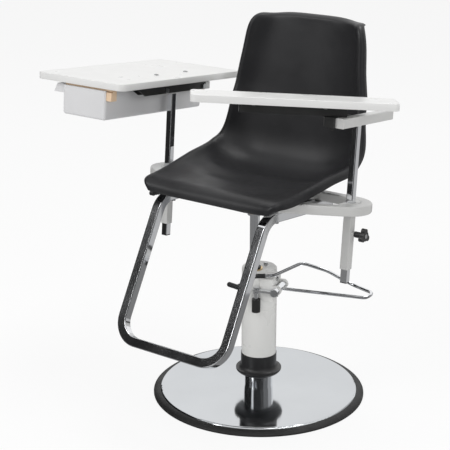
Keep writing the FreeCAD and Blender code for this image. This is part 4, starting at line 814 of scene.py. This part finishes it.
class CHAIR_OT_lever_grip(bpy.types.Operator):
    """Add the black grip on the end of the pedal's upper rod"""

    bl_idname = "chair.lever_grip"
    bl_label = "Lever grip"

    def execute(self, context):
        end = Vector(LEVER_END)
        along = (Vector(LEVER_BEND) - end).normalized()
        deselect()
        bpy.ops.mesh.primitive_cylinder_add(
            vertices=TURNED_SIDES, radius=GRIP_RADIUS, depth=GRIP_LENGTH,
            location=end + along * (GRIP_LENGTH / 2 - GRIP_OVERHANG),
            rotation=along.to_track_quat("Z", "Y").to_euler())
        grip = bpy.context.object
        choose(grip, "FACE", lambda face: len(face.vertices) > 4)
        bpy.ops.mesh.inset(thickness=GRIP_INSET)
        bpy.ops.object.mode_set(mode="OBJECT")
        add_modifier(grip, "BEVEL", width=GRIP_ROUND, segments=3, limit_method="ANGLE",
                     angle_limit=math.radians(60))
        set_down(grip, PEDAL_TURNED)
        finish_piece(grip, "lever_grip", finish("black_nylon"), "pedal",
                     angle=50.0)
        return {"FINISHED"}


class CHAIR_OT_fill_plug(bpy.types.Operator):
    """Add the oil filler plug on top of the pump"""

    bl_idname = "chair.fill_plug"
    bl_label = "Filler plug"

    def execute(self, context):
        deselect()
        bpy.ops.mesh.primitive_cylinder_add(
            vertices=6, radius=FILL_PLUG_RADIUS, depth=FILL_PLUG_HEIGHT, location=FILL_PLUG_CENTRE)
        plug = bpy.context.object
        choose(plug, "FACE", lambda face: face.normal.z > SQUARE_ON)
        bpy.ops.mesh.inset(thickness=FILL_PLUG_INSET)
        bpy.ops.transform.translate(value=(0, 0, FILL_PLUG_RISE))
        bpy.ops.object.mode_set(mode="OBJECT")
        add_modifier(plug, "BEVEL", width=FILL_PLUG_ROUND, segments=2)
        set_down(plug)
        finish_piece(plug, "fill_plug", finish("zinc"), "base", angle=30.0)
        return {"FINISHED"}


def mirror_only(card, name, brightness):
    """Dress a card of the stage that only mirror-like surfaces see."""
    card.name = name
    material = bpy.data.materials.new(name)
    material.use_nodes = True
    tree = material.node_tree
    tree.nodes.remove(tree.nodes["Principled BSDF"])
    glow = tree.nodes.new("ShaderNodeEmission")
    glow.inputs["Color"].default_value = (brightness, brightness, brightness, 1)
    tree.links.new(glow.outputs["Emission"], tree.nodes["Material Output"].inputs["Surface"])
    card.data.materials.append(material)
    card.visible_camera = False
    card.visible_diffuse = False
    card.visible_shadow = False
    card.visible_transmission = False


def studio_card(name, azimuth, distance, width, low, high, brightness):
    """An upright card round the chair, as a studio uses to draw chrome."""
    angle = math.radians(azimuth)
    deselect()
    bpy.ops.mesh.primitive_plane_add(
        size=1, rotation=(math.radians(90), 0, angle),
        location=(distance * math.sin(angle), -distance * math.cos(angle), (low + high) / 2))
    card = bpy.context.object
    card.scale = (width, high - low, 1)
    set_down(card)
    mirror_only(card, name, brightness)


def floor_flag(radius, brightness):
    """A grey card that lies round the base for the chrome to mirror."""
    deselect()
    bpy.ops.mesh.primitive_circle_add(
        vertices=FLOOR_STEPS, radius=radius, fill_type="NGON", location=(0, 0, FLAG_LEVEL))
    card = bpy.context.object
    set_down(card)
    mirror_only(card, "floor_flag", brightness)


def background_rays(tree):
    """1 for rays that should meet the white background: the camera's and the mirrored ones."""
    path = tree.nodes.new("ShaderNodeLightPath")
    result = path.outputs["Is Camera Ray"]
    for kind in ("Is Glossy Ray", "Is Transmission Ray"):
        either = tree.nodes.new("ShaderNodeMath")
        either.operation = "MAXIMUM"
        tree.links.new(result, either.inputs[0])
        tree.links.new(path.outputs[kind], either.inputs[1])
        result = either.outputs["Value"]
    return result


def studio_world(strength):
    """Even light from the room, with a plain white background."""
    world = bpy.data.worlds.new("studio")
    bpy.context.scene.world = world
    world.use_nodes = True
    tree = world.node_tree
    background = tree.nodes["Background"]
    level = tree.nodes.new("ShaderNodeMapRange")
    level.inputs["To Min"].default_value = strength
    level.inputs["To Max"].default_value = 1.0
    tree.links.new(background_rays(tree), level.inputs["Value"])
    tree.links.new(level.outputs["Result"], background.inputs["Strength"])
    background.inputs["Color"].default_value = (1, 1, 1, 1)


def studio_floor(colour, glow_share):
    """A pale floor that keeps the chair's shadow and fades into the white background."""
    deselect()
    bpy.ops.mesh.primitive_circle_add(
        vertices=FLOOR_STEPS, radius=FLOOR_RADIUS, fill_type="NGON", location=(0, 0, FLOOR_LEVEL))
    floor = bpy.context.object
    set_down(floor)
    floor.name = "floor"
    material = bpy.data.materials.new("floor")
    material.use_nodes = True
    tree = material.node_tree
    shader = tree.nodes["Principled BSDF"]
    shader.inputs["Base Color"].default_value = tuple(colour) + (1,)
    shader.inputs["Roughness"].default_value = 0.9
    shader.inputs["Specular IOR Level"].default_value = 0.1
    glow = tree.nodes.new("ShaderNodeEmission")
    glow.inputs["Color"].default_value = (1, 1, 1, 1)
    share = tree.nodes.new("ShaderNodeMath")
    share.operation = "MULTIPLY"
    share.inputs[1].default_value = glow_share
    tree.links.new(background_rays(tree), share.inputs[0])
    mix = tree.nodes.new("ShaderNodeMixShader")
    tree.links.new(share.outputs["Value"], mix.inputs["Fac"])
    tree.links.new(shader.outputs["BSDF"], mix.inputs[1])
    tree.links.new(glow.outputs["Emission"], mix.inputs[2])
    tree.links.new(mix.outputs["Shader"], tree.nodes["Material Output"].inputs["Surface"])
    floor.data.materials.append(material)


def soft_lamp(name, place, aim, size, power):
    """A square soft lamp aimed at a point."""
    deselect()
    bpy.ops.object.light_add(type="AREA", location=place)
    lamp = bpy.context.object
    lamp.name = name
    lamp.data.size = size
    lamp.data.energy = power
    lamp.rotation_euler = (Vector(aim) - Vector(place)).to_track_quat("-Z", "Y").to_euler()


def photo_camera(stage):
    """The camera at the photograph's angle."""
    azimuth = stage.azimuth
    pitch = stage.pitch
    level = math.cos(pitch)
    back = Vector((math.sin(azimuth) * level, -math.cos(azimuth) * level, math.sin(pitch)))
    right = Vector((math.cos(azimuth), math.sin(azimuth), 0))
    target = right * stage.target_side + Vector((0, 0, stage.target_height))
    deselect()
    bpy.ops.object.camera_add(location=target + back * stage.distance)
    camera = bpy.context.object
    camera.name = "photo_camera"
    up = back.cross(right)
    turn = Matrix((right, up, back)).transposed()
    camera.rotation_euler = turn.to_euler()
    camera.data.sensor_width = SENSOR_WIDTH
    camera.data.lens = stage.lens
    camera.data.clip_end = CLIP_END
    bpy.context.scene.camera = camera


# Name, place, aim and size of each lamp in metres
SOFT_LAMPS = (
    ("key_lamp", (-2.9, -4.7, 4.4), (0, 0, 0.6), 3.0),
    ("fill_lamp", (5.4, -2.2, 2.4), (0, 0, 0.6), 2.6),
    ("top_lamp", (0.4, 1.1, 5.4), (0, 0, 0.5), 2.6),
)

# Name, azimuth in degrees, distance, width, lower and upper edge in metres, brightness
STUDIO_CARDS = (
    ("left_card", -65.0, 1.8, 3.6, 0.0, 2.6, 0.02),
    ("front_card", 37.0, 2.4, 4.2, 0.0, 2.6, 0.04),
    ("right_card", 103.0, 2.4, 2.3, 0.0, 2.6, 0.2),
    ("rear_card", 138.5, 1.0, 0.76, 0.0, 0.7, 0.5),
    ("back_card", -143.0, 3.2, 6.0, 0.0, 0.66, 0.7),
)


class CHAIR_OT_set_stage(bpy.types.Operator):
    """Set the floor, the room, the lamps and the camera"""

    bl_idname = "chair.set_stage"
    bl_label = "Set the stage"

    def execute(self, context):
        stage = context.scene.chair_stage
        context.scene.view_settings.view_transform = "Standard"
        studio_world(stage.room_light)
        studio_floor(stage.floor_colour, stage.floor_glow_share)
        floor_flag(FLAG_RADIUS, stage.flag_level)
        powers = (stage.key_power, stage.fill_power, stage.top_power)
        for (name, place, aim, size), power in zip(SOFT_LAMPS, powers):
            soft_lamp(name, place, aim, size, power)
        for name, azimuth, distance, width, low, high, brightness in STUDIO_CARDS:
            studio_card(name, azimuth, distance, width, low, high, brightness)
        photo_camera(stage)
        return {"FINISHED"}


class CHAIR_PT_panel(bpy.types.Panel):
    """Steps that dress the chair"""

    bl_label = "Chair"
    bl_idname = "CHAIR_PT_panel"
    bl_space_type = "VIEW_3D"
    bl_region_type = "UI"
    bl_category = "Chair"

    def draw(self, context):
        for operator in STEPS:
            self.layout.operator(operator.bl_idname)


STEPS = (
    CHAIR_OT_dress_nodes,
    CHAIR_OT_edge_bands,
    CHAIR_OT_weld_beads,
    CHAIR_OT_pump_rings,
    CHAIR_OT_screw_crosses,
    CHAIR_OT_knob_inserts,
    CHAIR_OT_lever_grip,
    CHAIR_OT_fill_plug,
    CHAIR_OT_set_stage,
)
CLASSES = (ChairFinishes, ChairTrims, ChairStage) + STEPS + (CHAIR_PT_panel,)


def register():
    """Register the classes and the settings."""
    for cls in CLASSES:
        bpy.utils.register_class(cls)
    bpy.types.Scene.chair_finishes = PointerProperty(type=ChairFinishes)
    bpy.types.Scene.chair_trims = PointerProperty(type=ChairTrims)
    bpy.types.Scene.chair_stage = PointerProperty(type=ChairStage)


def unregister():
    """Remove the settings and the classes."""
    del bpy.types.Scene.chair_stage
    del bpy.types.Scene.chair_trims
    del bpy.types.Scene.chair_finishes
    for cls in reversed(CLASSES):
        bpy.utils.unregister_class(cls)


def main():
    """Register, and dress the chair step by step."""
    register()
    bpy.ops.chair.dress_nodes()
    bpy.ops.chair.edge_bands()
    bpy.ops.chair.weld_beads()
    bpy.ops.chair.pump_rings()
    bpy.ops.chair.screw_crosses()
    bpy.ops.chair.knob_inserts()
    bpy.ops.chair.lever_grip()
    bpy.ops.chair.fill_plug()
    bpy.ops.chair.set_stage()


if __name__ == "__main__":
    main()
